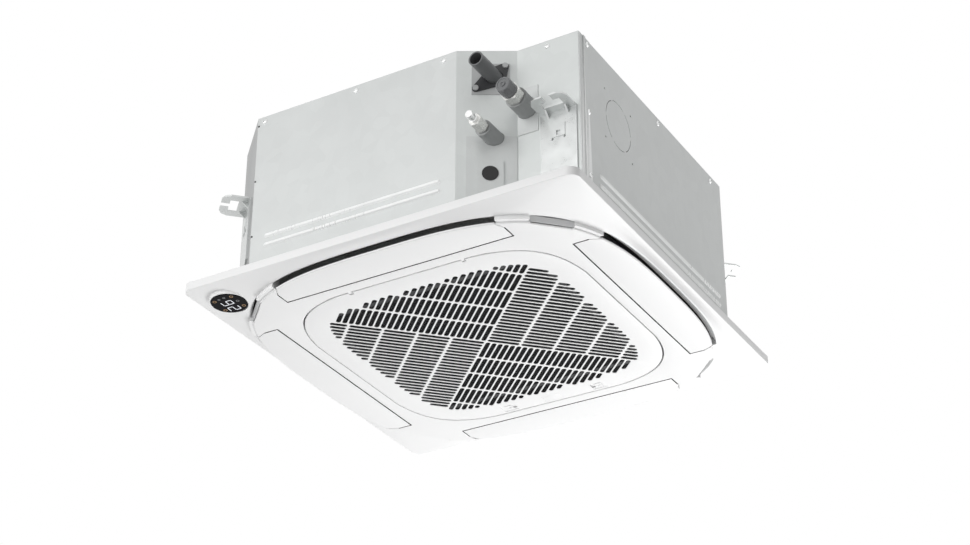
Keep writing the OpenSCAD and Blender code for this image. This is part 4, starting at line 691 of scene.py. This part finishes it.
def openingOutline(count=320):      # clockwise, so that the material lies on its left
    f, points = face, []
    start, width, depth = f["relief"]
    for k in range(count):
        x, y = flatPoint(f["openSize"], f["openPower"], -360 * k / count)
        share = (abs(x) - start) / width
        if y < 0 and 0 < share < 1:     # room for the open grille's edge, beside its hinges
            y -= depth * math.sin(math.pi * share) ** 2
        points.append((x, y, f["innerRound"]))
    return points


def makeHingeEar(x):
    h, ear, arm, bore = hinge, MeshBag(), MeshBag(), MeshBag()
    centre, (radius, wide), (low, high) = (x, h["y"], h["z"]), h["ear"], h["armHeights"]
    ear.turnedShape([(radius, -wide / 2), (radius, wide / 2)], centre, (1, 0, 0), 32)
    arm.box((x - wide / 2, h["armBack"], low), (x + wide / 2, h["y"], high))
    bore.turnedShape([(h["pin"], -h["cut"]), (h["pin"], h["cut"])], centre, (1, 0, 0), 32)
    ear = combined(ear.toObject("ear"), [arm.toObject("arm")], "UNION")
    return combined(ear, [bore.toObject("bore")], "DIFFERENCE")


def makeCentreFace():
    f, bag, part, low = face, MeshBag(), MeshBag(), -face["drop"]
    back, start = f["edge"] - f["wall"], low + f["wallStart"]
    bag.plate([centreOutline(), openingOutline()], low, low + f["thickness"])
    hinges = [(x - f["hingeGap"], x + f["hingeGap"], -1) for x in (-hinge["x"], hinge["x"])]
    bag.wallRound(f["openSize"], f["openSize"] + f["wall"], f["openPower"], start, 0.0, hinges)
    part.box((-f["ductHalf"], back, start), (f["ductHalf"], f["edge"], 0.0))
    wide, deep, high, edge = f["cheek"]
    for x in (-f["window"] - wide, f["window"]):        # cheeks with the louvre bearings
        part.box((x, back, start), (x + wide, f["edge"] + deep, low + high), edge)
    part.box(*f["tab"])
    for quarter in range(4):
        bag.add([turned(q, 90 * quarter) for q in part.points], part.faces)
    ears = (makeHingeEar(x) for x in (-hinge["x"], hinge["x"]))
    return shaded(joined(bag.toObject("centreFace"), *ears), 35)


# painted shade: the centre face's walls up into the outlet, and those round the louvres, take the black foam finish
def inFaceDuct(x, y, z):
    duct = z > face["shadeAbove"] and max(abs(x), abs(y)) > face["shadeFrom"]
    return duct or inGap(x, y, z, face["edge"], face["window"])


seal(place(makeCentreFace(), "housing", "white_plastic", "centre_platform"), inFaceDuct)
print("centre face made")


# Louvres: one blade, made four times, with a spine along its hinge and ribs behind
louvreBlade = {
    "half": 179.0, "inner": 238.5, "thickness": 3.0, "pivot": (241.0, -26.5), "spine": 2.0, "pin": 1.5,
    "pinLength": 5.0, "pinEdge": (0.3, 0.4), "ribs": (-0.6, 0.0, 0.6), "ribWidth": 1.6, "ribLength": 30.0,
    "ribHeights": (3.0, 0.6), "innerRound": 0.5, "cornerRound": 0.6, "outerRound": 2.4, "outerEndRound": 1.4,
    "outerPoints": 64, "shadeBelow": -26.9,
}


def makeLouvre(name, turn):
    p, f, bag = louvreBlade, face, MeshBag()
    low, end, y0 = -f["drop"], p["half"], f["edge"] + f["shoulder"]
    inner, e, count, inset = p["inner"], p["innerRound"], p["outerPoints"], end - f["taper"]
    outline = [(-end + e, inner, e), (end - e, inner, e), (end, inner + e, p["cornerRound"]), (end, y0, e)]
    for k in range(count + 1):
        x = inset - 2 * inset * k / count
        edge = p["outerRound"] if 0 < k < count else p["outerEndRound"]
        outline.append((x, superHeight(f["size"], f["power"], x), edge))
    outline += [(-end, y0, e), (-end, inner + e, p["cornerRound"])]
    bag.plate([outline], low, low + p["thickness"], topEdge=0.5, steps=5)
    (y, z), tip, (inward, along) = p["pivot"], -end - p["pinLength"], p["pinEdge"]
    bag.turnedShape([(p["pin"] - inward, tip), (p["pin"], tip + along), (p["pin"], -end), (p["spine"], -end),
                     (p["spine"], end)], (0, y, z), (1, 0, 0), 32)
    start, far, (high, lowEnd) = low + p["thickness"] - sink, y + p["ribLength"], p["ribHeights"]
    for share in p["ribs"]:
        x = share * end - p["ribWidth"] / 2
        profile = [(y, start), (far, start), (far, start + lowEnd), (y, start + high)]
        bag.prism([(x, *q) for q in profile], (p["ribWidth"], 0, 0))
    return bag.toObject(name, turn)


# painted shade: the louvre's edge walls in the gap take the black foam finish
def onLouvreEdge(x, y, z):
    return z < louvreBlade["shadeBelow"] and inGap(x, y, z, louvreBlade["inner"], louvreBlade["half"])


for side, turn in (("Front", 180), ("Right", 270), ("Rear", 0), ("Left", 90)):
    end = "_" + side.lower()
    seal(place(makeLouvre("louvre" + side, turn), "flap" + end, "white_plastic", "louvre" + end), onLouvreEdge)
print("louvres made")


class Tree(Finish):                 # a geometry tree whose inputs are named
    def __init__(self, name, **inputs):
        self.tree = bpy.data.node_groups.new(name, "GeometryNodeTree")
        sockets = self.tree.interface
        sockets.new_socket("Geometry", in_out="INPUT", socket_type="NodeSocketGeometry")
        self.values = inputs
        for label, value in inputs.items():
            kind = type(value).__name__.capitalize()        # Float, Material or Object
            sockets.new_socket(label, in_out="INPUT", socket_type="NodeSocket" + kind)
        sockets.new_socket("Geometry", in_out="OUTPUT", socket_type="NodeSocketGeometry")
        self.start = self.tree.nodes.new("NodeGroupInput")
        self.end = self.tree.nodes.new("NodeGroupOutput")

    def given(self, label):
        return Wire(self, self.start.outputs[label])

    def join(self, *parts):
        node = self.tree.nodes.new("GeometryNodeJoinGeometry")
        for part in parts[::-1]:
            self.tree.links.new(part.socket, node.inputs[0])
        return Wire(self, node.outputs[0])

    def vector(self, x=0.0, y=0.0, z=0.0):
        return self.add("ShaderNodeCombineXYZ", {}, {0: x, 1: y, 2: z})

    def named(self, label, kind="FLOAT"):
        return self.add("GeometryNodeInputNamedAttribute", {"data_type": kind}, {"Name": label})

    def scaled(self, vector, factor):
        return self.add("ShaderNodeVectorMath", {"operation": "SCALE"}, {0: vector, "Scale": factor})

    def position(self, axis):       # of each point, along X, Y or Z
        return self.add("ShaderNodeSeparateXYZ", {}, {0: self.add("GeometryNodeInputPosition", {}, {})}, axis)

    def moved(self, geometry, x=0.0, y=0.0, z=0.0, **more):
        return self.add("GeometryNodeTransform", {}, {0: geometry, "Translation": self.vector(x, y, z), **more})

    def copies(self, points, shape, **more):
        return self.add("GeometryNodeInstanceOnPoints", {}, {0: points, "Instance": shape, **more})

    def finish(self, geometry):     # plain mesh with its material
        real = self.add("GeometryNodeRealizeInstances", {}, {0: geometry})
        done = self.add("GeometryNodeSetMaterial", {}, {0: real, "Material": self.given("Material")})
        self.tree.links.new(done.socket, self.end.inputs[0])

    def grow(self, piece):          # runs the tree on a piece and keeps the result as its mesh
        step = piece.modifiers.new(self.tree.name, "NODES")
        step.node_group = self.tree
        for socket in self.tree.interface.items_tree:
            if socket.in_out == "INPUT" and socket.name in self.values:
                step[socket.identifier] = self.values[socket.name]
        return settled(piece)


def pointPiece(name, points, edges=(), **attributes):   # bare points, in millimetres, that a tree grows from
    mesh = bpy.data.meshes.new(name)
    mesh.from_pydata([tuple(c * mm for c in p) for p in points], list(edges), [])
    for label, values in attributes.items():
        if isinstance(values[0], tuple):
            layer = mesh.attributes.new(label, "FLOAT_VECTOR", "POINT")
            layer.data.foreach_set("vector", [c for v in values for c in v])
        else:
            mesh.attributes.new(label, "FLOAT", "POINT").data.foreach_set("value", values)
    return newObject(name, mesh)


def plateTree(lengths, finish):     # an outline with a slot at each loose point
    t = Tree("slottedPlate", **{label: length * mm for label, length in lengths.items()}, Material=finish)
    split = t.tree.nodes.new("GeometryNodeSeparateGeometry")
    t.tree.links.new(t.start.outputs[0], split.inputs[0])
    t.tree.links.new((t.named("slot") > 0.5).socket, split.inputs[1])
    outline = t.add("GeometryNodeMeshToCurve", {}, {0: Wire(t, split.outputs[1])})
    ends = t.add("GeometryNodeCurvePrimitiveCircle", {}, {"Resolution": 16, "Radius": t.given("Slot Width") / 2})
    ends = t.add("GeometryNodeTransform", {}, {0: ends, "Rotation": (0, 0, math.radians(11.25))})
    ends = t.add("GeometryNodeStoreNamedAttribute", {"data_type": "FLOAT"}, {
        0: ends, "Name": "far", "Value": t.position(1) > 0})       # this half moves away to make the slot long
    ends = t.add("GeometryNodeReverseCurve", {}, {0: ends})
    slots = t.copies(Wire(t, split.outputs[0]), ends, Rotation=t.vector(0, 0, t.named("turn")))
    slots = t.add("GeometryNodeRealizeInstances", {}, {0: slots})
    stretch = t.scaled(t.named("along", "FLOAT_VECTOR"), t.named("far"))
    slots = t.add("GeometryNodeSetPosition", {}, {0: slots, "Offset": stretch})
    high, parts, rims = t.given("Plate Height"), [], []
    for loops, radius in ((outline, t.given("Outline Edge")), (slots, t.given("Slot Edge"))):
        loops = t.add("GeometryNodeSetCurveNormal", {"mode": "Z_UP"}, {0: loops})
        back = 0 - radius
        arc = t.add("GeometryNodeCurveArc", {"mode": "RADIUS"}, {
            "Resolution": 5, "Radius": radius, "Start Angle": math.pi / 2, "Sweep Angle": -math.pi / 2})
        wall = t.add("GeometryNodeCurvePrimitiveLine", {"mode": "POINTS"}, {
            "Start": t.vector(0, back), "End": t.vector(0, 0 - high)})
        swept = t.add("GeometryNodeCurveToMesh", {}, {0: loops, 1: t.join(t.moved(arc, back, back), wall)})
        parts.append(t.add("GeometryNodeFlipFaces", {}, {0: swept}))
        inward = t.scaled(t.add("GeometryNodeInputNormal", {}, {}), back)
        rims.append((t.add("GeometryNodeSetPosition", {}, {0: loops, "Offset": inward}), loops))
    lower, upper = (t.add("GeometryNodeFillCurve", {"mode": "TRIANGLES"}, {0: t.join(*row)}) for row in zip(*rims))
    lower = t.add("GeometryNodeFlipFaces", {}, {0: lower})
    whole = t.join(*parts, lower, t.moved(upper, z=high))
    whole = t.add("GeometryNodeMergeByDistance", {}, {0: whole, "Distance": 0.00002})
    t.finish(t.moved(whole, z=t.given("Level")))
    return t


# Intake grille: a pinwheel of short slots, turned a quarter at a time
grille = {
    "size": 216.6, "power": 4.1, "border": 185.6, "borderPower": 4.8, "pitch": 9.2, "slot": 7.0, "cell": 50.0,
    "web": 1.5, "shortest": 1.02,   # webs between cells, and the least length of a slot in slot widths
    "low": -30.0, "thickness": 3.0, "bar": 0.8, "slotEdge": 0.2, "outlineEdge": 0.6, "notch": (6.0, 5.5, 0.3),
    "latch": (76.0, 202.6), "pocket": (24.0, 20.0, 1.2, 1.0), "button": 12.0, "travel": 6.0,
    "skirt": (6.0, 1.6, 5.0), "skirtGap": 26.0, "plaque": ((-17.0, 195.0), (13.0, 212.0)), "plaqueDepth": 0.5,
    "plaqueGap": 0.35, "plaqueCorner": 0.8, "plaqueRound": 0.2, "plaqueRoot": 0.1,
    "filterPlace": (-178.3, -176.3, 178.3, 164.3), "fieldEdge": 1.5,
    "rail": {"half": 18.2, "button": 5.0, "place": 9.0, "wall": 1.4, "hook": 1.2, "hookFrom": 2.5, "height": 3.9},
}


def slotReach(u):                   # how far a slot may run at u before it meets the border
    size, power = grille["border"], grille["borderPower"]
    return solve(lambda v: sum(abs(c) ** power for c in diagonal(u, v)) - size ** power, 0, 2 * size)


def grilleOutline(count=320):       # with a notch at each hinge, and no other points close to it
    g, points = grille, []
    width, deep, clear = g["notch"]
    for k in range(count):
        x, y = flatPoint(g["size"], g["power"], 360 * (k - count / 2) / count)
        middle = math.copysign(hinge["x"], x)
        if y > 0 or abs(x - middle) >= width / 2 + clear:
            points.append((x, y))
        elif points[-1] != (middle + width / 2, -g["size"]):
            points += [(middle + a * width / 2, b * deep - g["size"]) for a, b in ((-1, 0), (-1, 1), (1, 1), (1, 0))]
    return points


def fieldOutline(count=320):        # the border round the thinned field, which also takes the filter
    g, points = grille, []
    left, low, right, high = g["filterPlace"]
    for k in range(count):
        c, s = math.cos(-2 * math.pi * k / count), math.sin(-2 * math.pi * k / count)
        curve = math.hypot(*superPoint(g["border"] + g["fieldEdge"], g["borderPower"], -360 * k / count))
        frame = min((right if c > 0 else left) / (c or 1e-9), (high if s > 0 else low) / (s or 1e-9))
        points.append((max(curve, frame) * c, max(curve, frame) * s, 0.0))
    return points


def makeGrillePlate():
    g, outline = grille, grilleOutline()
    count, half, low = len(outline), g["slot"] / 2, g["low"]
    points = [(*q, 0) for q in outline]
    edges = [(k, (k + 1) % count) for k in range(count)]
    isSlot, turns, runs = [0.0] * count, [0.0] * count, [(0, 0, 0)] * count
    rows = int(1.3 * g["border"] / g["pitch"]) + 1      # enough to reach the border's corners
    for angle in (45, 135, 225, 315):
        for j in range(rows):
            u = (j + 0.5) * g["pitch"]
            reach = min(slotReach(u - half), slotReach(u + half))
            for k in range(math.ceil(reach / g["cell"]) + 1):
                start, stop = k * g["cell"] + g["web"], min((k + 1) * g["cell"] - g["web"], reach)
                if stop - start > g["shortest"] * g["slot"]:
                    points.append((*turned((u, start + half), angle), 0))
                    isSlot.append(1.0)
                    turns.append(math.radians(angle))
                    runs.append((*turned((0, (stop - start - g["slot"]) * mm), angle), 0))
    plate = pointPiece("intakeGrille", points, edges, slot=isSlot, turn=turns, along=runs)
    print("grille slots:", int(sum(isSlot)))
    plateTree({"Slot Width": g["slot"], "Plate Height": g["bar"], "Slot Edge": g["slotEdge"],
               "Outline Edge": g["outlineEdge"], "Level": low}, finishes["white_plastic"]).grow(plate)
    pockets, border, plaque, holes = MeshBag(), MeshBag(), MeshBag(), []
    (w, d, deep, edge), b, (latchX, y) = g["pocket"], g["button"] / 2, g["latch"]
    for x, less, more in ((-latchX, 0, g["travel"]), (latchX, g["travel"], 0)):
        pockets.box((x - w / 2, y - d / 2, low - 2), (x + w / 2, y + d / 2, low + deep + 1), edge)
        x0, x1 = x - b - less, x + b + more
        holes.append([(x0, y - b, 0.0), (x0, y + b, 0.0), (x1, y + b, 0.0), (x1, y - b, 0.0)])
    rim = [(*q, 0.0) for q in outline]      # thicker than the slotted field inside it
    border.plate([rim, fieldOutline(), *holes], low + g["bar"], low + g["thickness"], topEdge=0.2, steps=1)
    ((x0, y0), (x1, y1)), e, level = g["plaque"], g["plaqueGap"], low + g["plaqueDepth"]
    pockets.box((x0, y0, low - 1), (x1, y1, level), g["plaqueCorner"])
    plate = combined(plate, [pockets.toObject("pockets")], "DIFFERENCE")
    x0, y0, x1, y1 = x0 + e, y0 + e, x1 - e, y1 - e
    corners = [(*q, g["plaqueRound"]) for q in ((x0, y0), (x1, y0), (x1, y1), (x0, y1))]
    plaque.plate([corners], low, level + g["plaqueRoot"], topEdge=0.05, steps=2)    # bare, flush in its recess
    return shaded(joined(plate, border.toObject("border"), plaque.toObject("plaque")), 40)


def makeGrilleBack():               # skirt, hinge barrels and latch rails behind the plate
    g, h, r, bag = grille, hinge, grille["rail"], MeshBag()
    (inset, wall, high), (radius, length), bore = g["skirt"], h["barrel"], h["pin"]
    back, outer, reach = g["low"] + g["thickness"], g["size"] - inset, g["skirtGap"]
    openings = [(x - reach, x + reach, 1) for x in (-g["latch"][0], g["latch"][0])]
    bag.wallRound(outer - wall, outer, g["power"], back - sink, back + high, openings)
    tube = [(bore, -length / 2), (radius, -length / 2), (radius, length / 2), (bore, length / 2)]
    for s in (-1, 1):
        x = s * g["latch"][0]
        start, stop = x - r["half"], x + r["half"]
        left, right = x - r["button"], x + r["button"]      # the outer rail leaves room for the button's travel
        left, right = (left, right + g["travel"]) if s < 0 else (left - g["travel"], right)
        for t, spans in ((-1, [(start, stop)]), (1, [(start, left), (right, stop)])):
            centre = (s * h["x"] + t * h["barrelPlace"], h["y"], h["z"])
            bag.turnedShape(tube, centre, (1, 0, 0), 32, bored=True)
            y, z = g["latch"][1] + t * r["place"], back - sink
            out, hook, under, top = y + t * r["wall"], y - t * r["hook"], z + r["hookFrom"], z + r["height"]
            profile = [(y, z), (out, z), (out, top), (hook, top), (hook, under), (y, under)]
            for a, b in spans:
                bag.prism([(a, *q) for q in profile[::t]], (b - a, 0, 0))
    return bag.toObject("grilleBack")


place(makeGrillePlate(), "grille", "white_plastic", "intake_grille")
place(makeGrilleBack(), "grille", "white_plastic")
print("grille made")


# Air filter: a fine net of crossed strands right behind the bars, as wide as the slotted field
filterNet = {"half": 186.6, "power": 4.8, "low": -28.7, "pitch": 1.25, "strand": 0.44}


def makeFilterNet():
    n = filterNet
    t = Tree("filterNet", **{"Half Width": n["half"] * mm, "Roundness": n["power"], "Pitch": n["pitch"] * mm,
                             "Strand": n["strand"] * mm, "Level": n["low"] * mm, "Material": finishes["filter_net"]})
    half, power, pitch, strand, level = (t.given(label) for label in t.values if label != "Material")
    row = t.add("GeometryNodeMeshLine", {"mode": "OFFSET"}, {
        "Count": (half * 2 / pitch).maths("FLOOR"), "Offset": t.vector(pitch),
        "Start Location": t.vector(pitch / 2 - half)})
    bend = (t.position(0).maths("ABSOLUTE") / half) ** power
    reach = (1 - bend).maths("MAXIMUM", 0.0001) ** (1 / power) * half       # of a strand, up to the border
    thread = t.add("GeometryNodeMeshCube", {}, {"Size": t.vector(strand, 2.0, strand)})
    strands = t.copies(row, thread, Scale=t.vector(1.0, reach, 1.0))
    across = t.moved(strands, z=level + strand / 2, Rotation=(0, 0, math.pi / 2))
    t.finish(t.join(t.moved(strands, z=level), across))
    return t.grow(pointPiece("filterNet", [(0, 0, 0)]))


place(makeFilterNet(), "grille", "filter_net", "filter_mesh")
print("filter net made")


# Casing screws: one domed head with a cross recess, set on every screw of the casing
screw = {"head": 4.0, "height": 2.4, "shank": (1.9, 1.2), "recess": (4.2, 0.9, 1.3), "flangeLift": 1.2, "spin": 0.7}


def makeScrewHead():
    g, bag, cross = screw, MeshBag(), MeshBag()
    (radius, long), (wide, narrow, deep) = g["shank"], g["recess"]
    profile = [(radius, -long), (radius, 0), (g["head"], 0)]
    for angle in (90, 72, 54, 36, 18):
        t = math.radians(angle)
        profile.append((g["head"] * math.sin(t), g["height"] * math.cos(t)))
    bag.turnedShape(profile, (0, 0, 0), (0, 0, 1), 24)
    reach, half = wide / 2, narrow / 2
    plus = [turned(q, 90 * k) for k in range(4) for q in ((reach, -half), (reach, half), (half, half))]
    cross.loft([atHeight(plus, z) for z in (g["height"] - deep, g["height"] + 1)])
    return shaded(combined(bag.toObject("screwHead"), [cross.toObject("cross")], "DIFFERENCE"), 35)


def makeCasingScrews():
    head, corners, points, out, spins = makeScrewHead(), casing["corners"], [], [], []
    for i, places in casing["screws"].items():
        a, b = (Vector(corners[(i + k) % len(corners)]) for k in (0, 1))
        ahead = (b - a).normalized()
        outward = Vector((ahead.y, -ahead.x))
        for s, z in places:
            lift = screw["flangeLift"] if i == 3 and s == 24 else 0     # these stand on the corner's flange
            points.append((*(a + ahead * s + outward * lift), z))
            out.append((*outward, 0))
            spins.append(len(spins) * screw["spin"])
    t = Tree("casingScrews", Screw=head, Material=finishes["zinc"])
    shape = t.add("GeometryNodeObjectInfo", {}, {"Object": t.given("Screw")}, "Geometry")
    aim = t.add("FunctionNodeAlignRotationToVector", {"axis": "Z"}, {"Vector": t.named("out", "FLOAT_VECTOR")})
    spin = t.add("FunctionNodeAxisAngleToRotation", {}, {"Axis": (0, 0, 1), "Angle": t.named("spin")})
    aim = t.add("FunctionNodeRotateRotation", {"rotation_space": "LOCAL"}, {0: aim, 1: spin})
    t.finish(t.copies(Wire(t, t.start.outputs[0]), shape, Rotation=aim))
    screws = t.grow(pointPiece("casingScrews", points, out=out, spin=spins))
    print("casing screws made:", len(points), "with", len(head.data.polygons), "faces each")
    bpy.data.objects.remove(head)
    return screws


# the screws take the lighter zinc copy, which is partly a painted highlight
place(makeCasingScrews(), "housing", "lit_screw_metal", "casing_screws", slot="zinc")


# Caps on the pipes' ends: rows are (radius, distance from the nut, 1 where the ribs stand)
pipeCap = {
    "gas": [(11.2, 0, 0), (11.7, 0.5, 0), (11.7, 3.8, 0), (11.0, 4.4, 1), (11.0, 16.8, 1), (10.7, 18.4, 0),
            (9.6, 19.3, 0), (8.0, 19.3, 0), (7.6, 18.5, 0), (4.2, 18.5, 0), (3.8, 20.0, 0), (2.2, 20.0, 0),
            (1.9, 19.0, 0)],
    "liquid": [(5.3, 0, 0), (5.75, 0.5, 0), (5.75, 3.6, 0), (5.0, 4.2, 0), (5.0, 6.4, 0), (5.6, 7.0, 0),
               (5.6, 12.0, 0), (5.2, 12.4, 0), (5.2, 13.0, 0), (5.6, 13.4, 0), (5.3, 15.0, 0), (3.0, 15.0, 0)],
    "rib": 0.7, "ribs": 8, "ribShare": 0.72, "points": 96, "gasNut": -293.0,
}


def makePipeCap(name, rows, x, y, z):       # from the nut, towards -Y
    g, bag, rings = pipeCap, MeshBag(), []
    turns = [2 * math.pi * k / g["points"] for k in range(g["points"])]
    for radius, along, ribbed in rows:
        reach = [radius + (g["rib"] if ribbed and math.cos(g["ribs"] * t) > g["ribShare"] else 0) for t in turns]
        rings.append([(x + r * math.cos(t), y - along, z + r * math.sin(t)) for r, t in zip(reach, turns)])
    bag.loft(rings)
    return bag.toObject(name, sharpAngle=30)


def makePipeCaps():                 # gas at the high corner of the CAD node's box, liquid at the low one
    (x0, y0, z0), (x1, _, z1) = ([c / mm for c in corner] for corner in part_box("pipe_caps"))
    gas, liquid, slot = pipeCap["gas"], pipeCap["liquid"], slotOf["pipe_caps"]
    wide, narrow = gas[1][0], liquid[1][0]
    cap = makePipeCap("gasPipeCap", gas, x1 - wide, pipeCap["gasNut"], z1 - wide)
    place(cap, "housing", "cap_grey", "pipe_caps", slot)
    cap = makePipeCap("liquidPipeCap", liquid, x0 + narrow, y0 + liquid[-1][1], z0 + narrow)
    place(cap, "housing", "cap_silver", slot=slot)


makePipeCaps()
print("pipe caps made")


# Display: two lit digits and small marks that show through the round lens
display = {
    "level": -20.95, "thick": 0.12, "stroke": 1.3, "barGap": 0.35, "barPoint": 0.6, "digitSize": (11.0, 18.0),
    "digits": {(-263.3, -248.0): "2", (-263.3, -264.6): "6"}, "ring": 0.9,
    "marks": {                      # end of the name: (finish, radius, points, places)
        "White": ("digit_grey", 2.0, 12, [(-268, -278), (-259, -279)]),
        "Amber": ("digit_amber", 2.8, 20, [(-278, -249), (-247, -248), (-277, -276), (-248, -277)]),
        "Grey": ("digit_grey", 2.6, 6, [(-247, -263)])},
}


def makeDigits():
    d, bag, w = display, MeshBag(), display["stroke"] / 2
    wide, high = (size - 2 * w for size in d["digitSize"])
    bars = {"2": [(0, 1, 1, 1), (1, 1, 1, 0.5), (1, 0.5, 0, 0.5), (0, 0.5, 0, 0), (0, 0, 1, 0)],
            "6": [(1, 1, 0, 1), (0, 1, 0, 0.5), (0, 0.5, 0, 0), (0, 0, 1, 0), (1, 0, 1, 0.5), (1, 0.5, 0, 0.5)]}
    for middle, digit in d["digits"].items():
        for x0, y0, x1, y1 in bars[digit]:      # read from below, tops towards -X
            a, b = (Vector(middle) + Vector(((0.5 - y) * high, (0.5 - x) * wide)) for x, y in ((x0, y0), (x1, y1)))
            ahead = (b - a).normalized()
            side, tip = Vector((-ahead.y, ahead.x)) * w, ahead * w * d["barPoint"]
            a, b = a + ahead * d["barGap"] * w, b - ahead * d["barGap"] * w
            row = [a, a + side + tip, b + side - tip, b, b - side - tip, a - side + tip]
            bag.prism([(*q, d["level"]) for q in row], (0, 0, d["thick"]))
    return bag.toObject("displayDigits")


def makeMarks(name, radius, count, places):     # small rings
    d, bag = display, MeshBag()
    inner, top = radius - d["ring"], d["thick"]
    for x, y in places:
        bag.turnedShape([(inner, 0), (radius, 0), (radius, top), (inner, top)], (x, y, d["level"]), (0, 0, 1),
                        count, bored=True)
    return bag.toObject(name)


place(makeDigits(), "housing", "digit_white", slot="lens")
for name, (finish, *shape) in display["marks"].items():
    place(makeMarks("displayMarks" + name, *shape), "housing", finish, slot="lens")
print("display made")


# Room, camera and light, in metres
room = {
    "floorHeight": -2.4, "floorSize": 30.0, "floorThickness": 0.05, "floorColour": (0.8, 0.8, 0.8),
    "cameraPlace": (1.3376, -2.3016, -1.4462), "cameraDirection": (-0.436, 0.7493, 0.4985), "roll": 0.1,
    "lens": 78.08, "sensor": 36.0,  # both in millimetres
    "ambient": 0.40, "keyPlace": (-0.9, -2.8, 0.2), "keyPower": 42.0, "keySize": 1.8,
    "underPlace": (0.4, 1.4, -2.15), "underPower": 86.0, "underSize": 2.6,
}


def backgroundShare(made):          # what the camera, mirrors and glass see of the surroundings
    camera, glossy, through = (made.add("ShaderNodeLightPath", {}, {}, name)
                               for name in ("Is Camera Ray", "Is Glossy Ray", "Is Transmission Ray"))
    return camera.maths("MAXIMUM", glossy).maths("MAXIMUM", through)


def makeFloor():
    bag, half, top = MeshBag(), room["floorSize"] / 2 / mm, room["floorHeight"] / mm
    bag.box((-half, -half, top - room["floorThickness"] / mm), (half, half, top))
    floor = bag.toObject("studioFloor")
    made = Finish("studioFloor", Base_Color=room["floorColour"], Roughness=0.9)
    white = made.add("ShaderNodeEmission", {}, {"Color": (1, 1, 1), "Strength": 1.0})
    lit = Wire(made, made.shader.outputs[0])
    blend = made.add("ShaderNodeMixShader", {}, {0: backgroundShare(made), 1: lit, 2: white})
    made.tree.links.new(blend.socket, made.output.inputs[0])
    paint(floor, made.material)


def makeWorld():
    world = bpy.data.worlds.new("studio")
    bpy.context.scene.world = world
    world.use_nodes = True
    made = Finish.__new__(Finish)   # only its tree is used
    made.tree = world.node_tree
    made.tree.nodes.clear()
    strength = backgroundShare(made) * (1 - room["ambient"]) + room["ambient"]
    back = made.add("ShaderNodeBackground", {}, {"Color": (1, 1, 1), "Strength": strength})
    end = made.tree.nodes.new("ShaderNodeOutputWorld")
    made.tree.links.new(back.socket, end.inputs[0])


def makeLamp(name, aim=(0, 0, 0.1)):
    lamp = bpy.data.lights.new(name + "Lamp", "AREA")
    lamp.energy, lamp.size = room[name + "Power"], room[name + "Size"]
    holder = newObject(name + "Lamp", lamp)
    holder.location = room[name + "Place"]
    holder.rotation_euler = (Vector(aim) - holder.location).to_track_quat("-Z", "Y").to_euler()


def makeCamera():
    lens = bpy.data.cameras.new("camera")
    lens.lens, lens.sensor_width = room["lens"], room["sensor"]
    camera = newObject("camera", lens)
    turn = Vector(room["cameraDirection"]).to_track_quat("-Z", "Y").to_matrix()
    turn = turn @ Matrix.Rotation(math.radians(room["roll"]), 3, "Z")
    camera.matrix_world = Matrix.Translation(room["cameraPlace"]) @ turn.to_4x4()
    bpy.context.scene.camera = camera


makeFloor()
makeWorld()
makeLamp("key")
makeLamp("under")
makeCamera()
bpy.context.scene.view_settings.view_transform = "Standard"
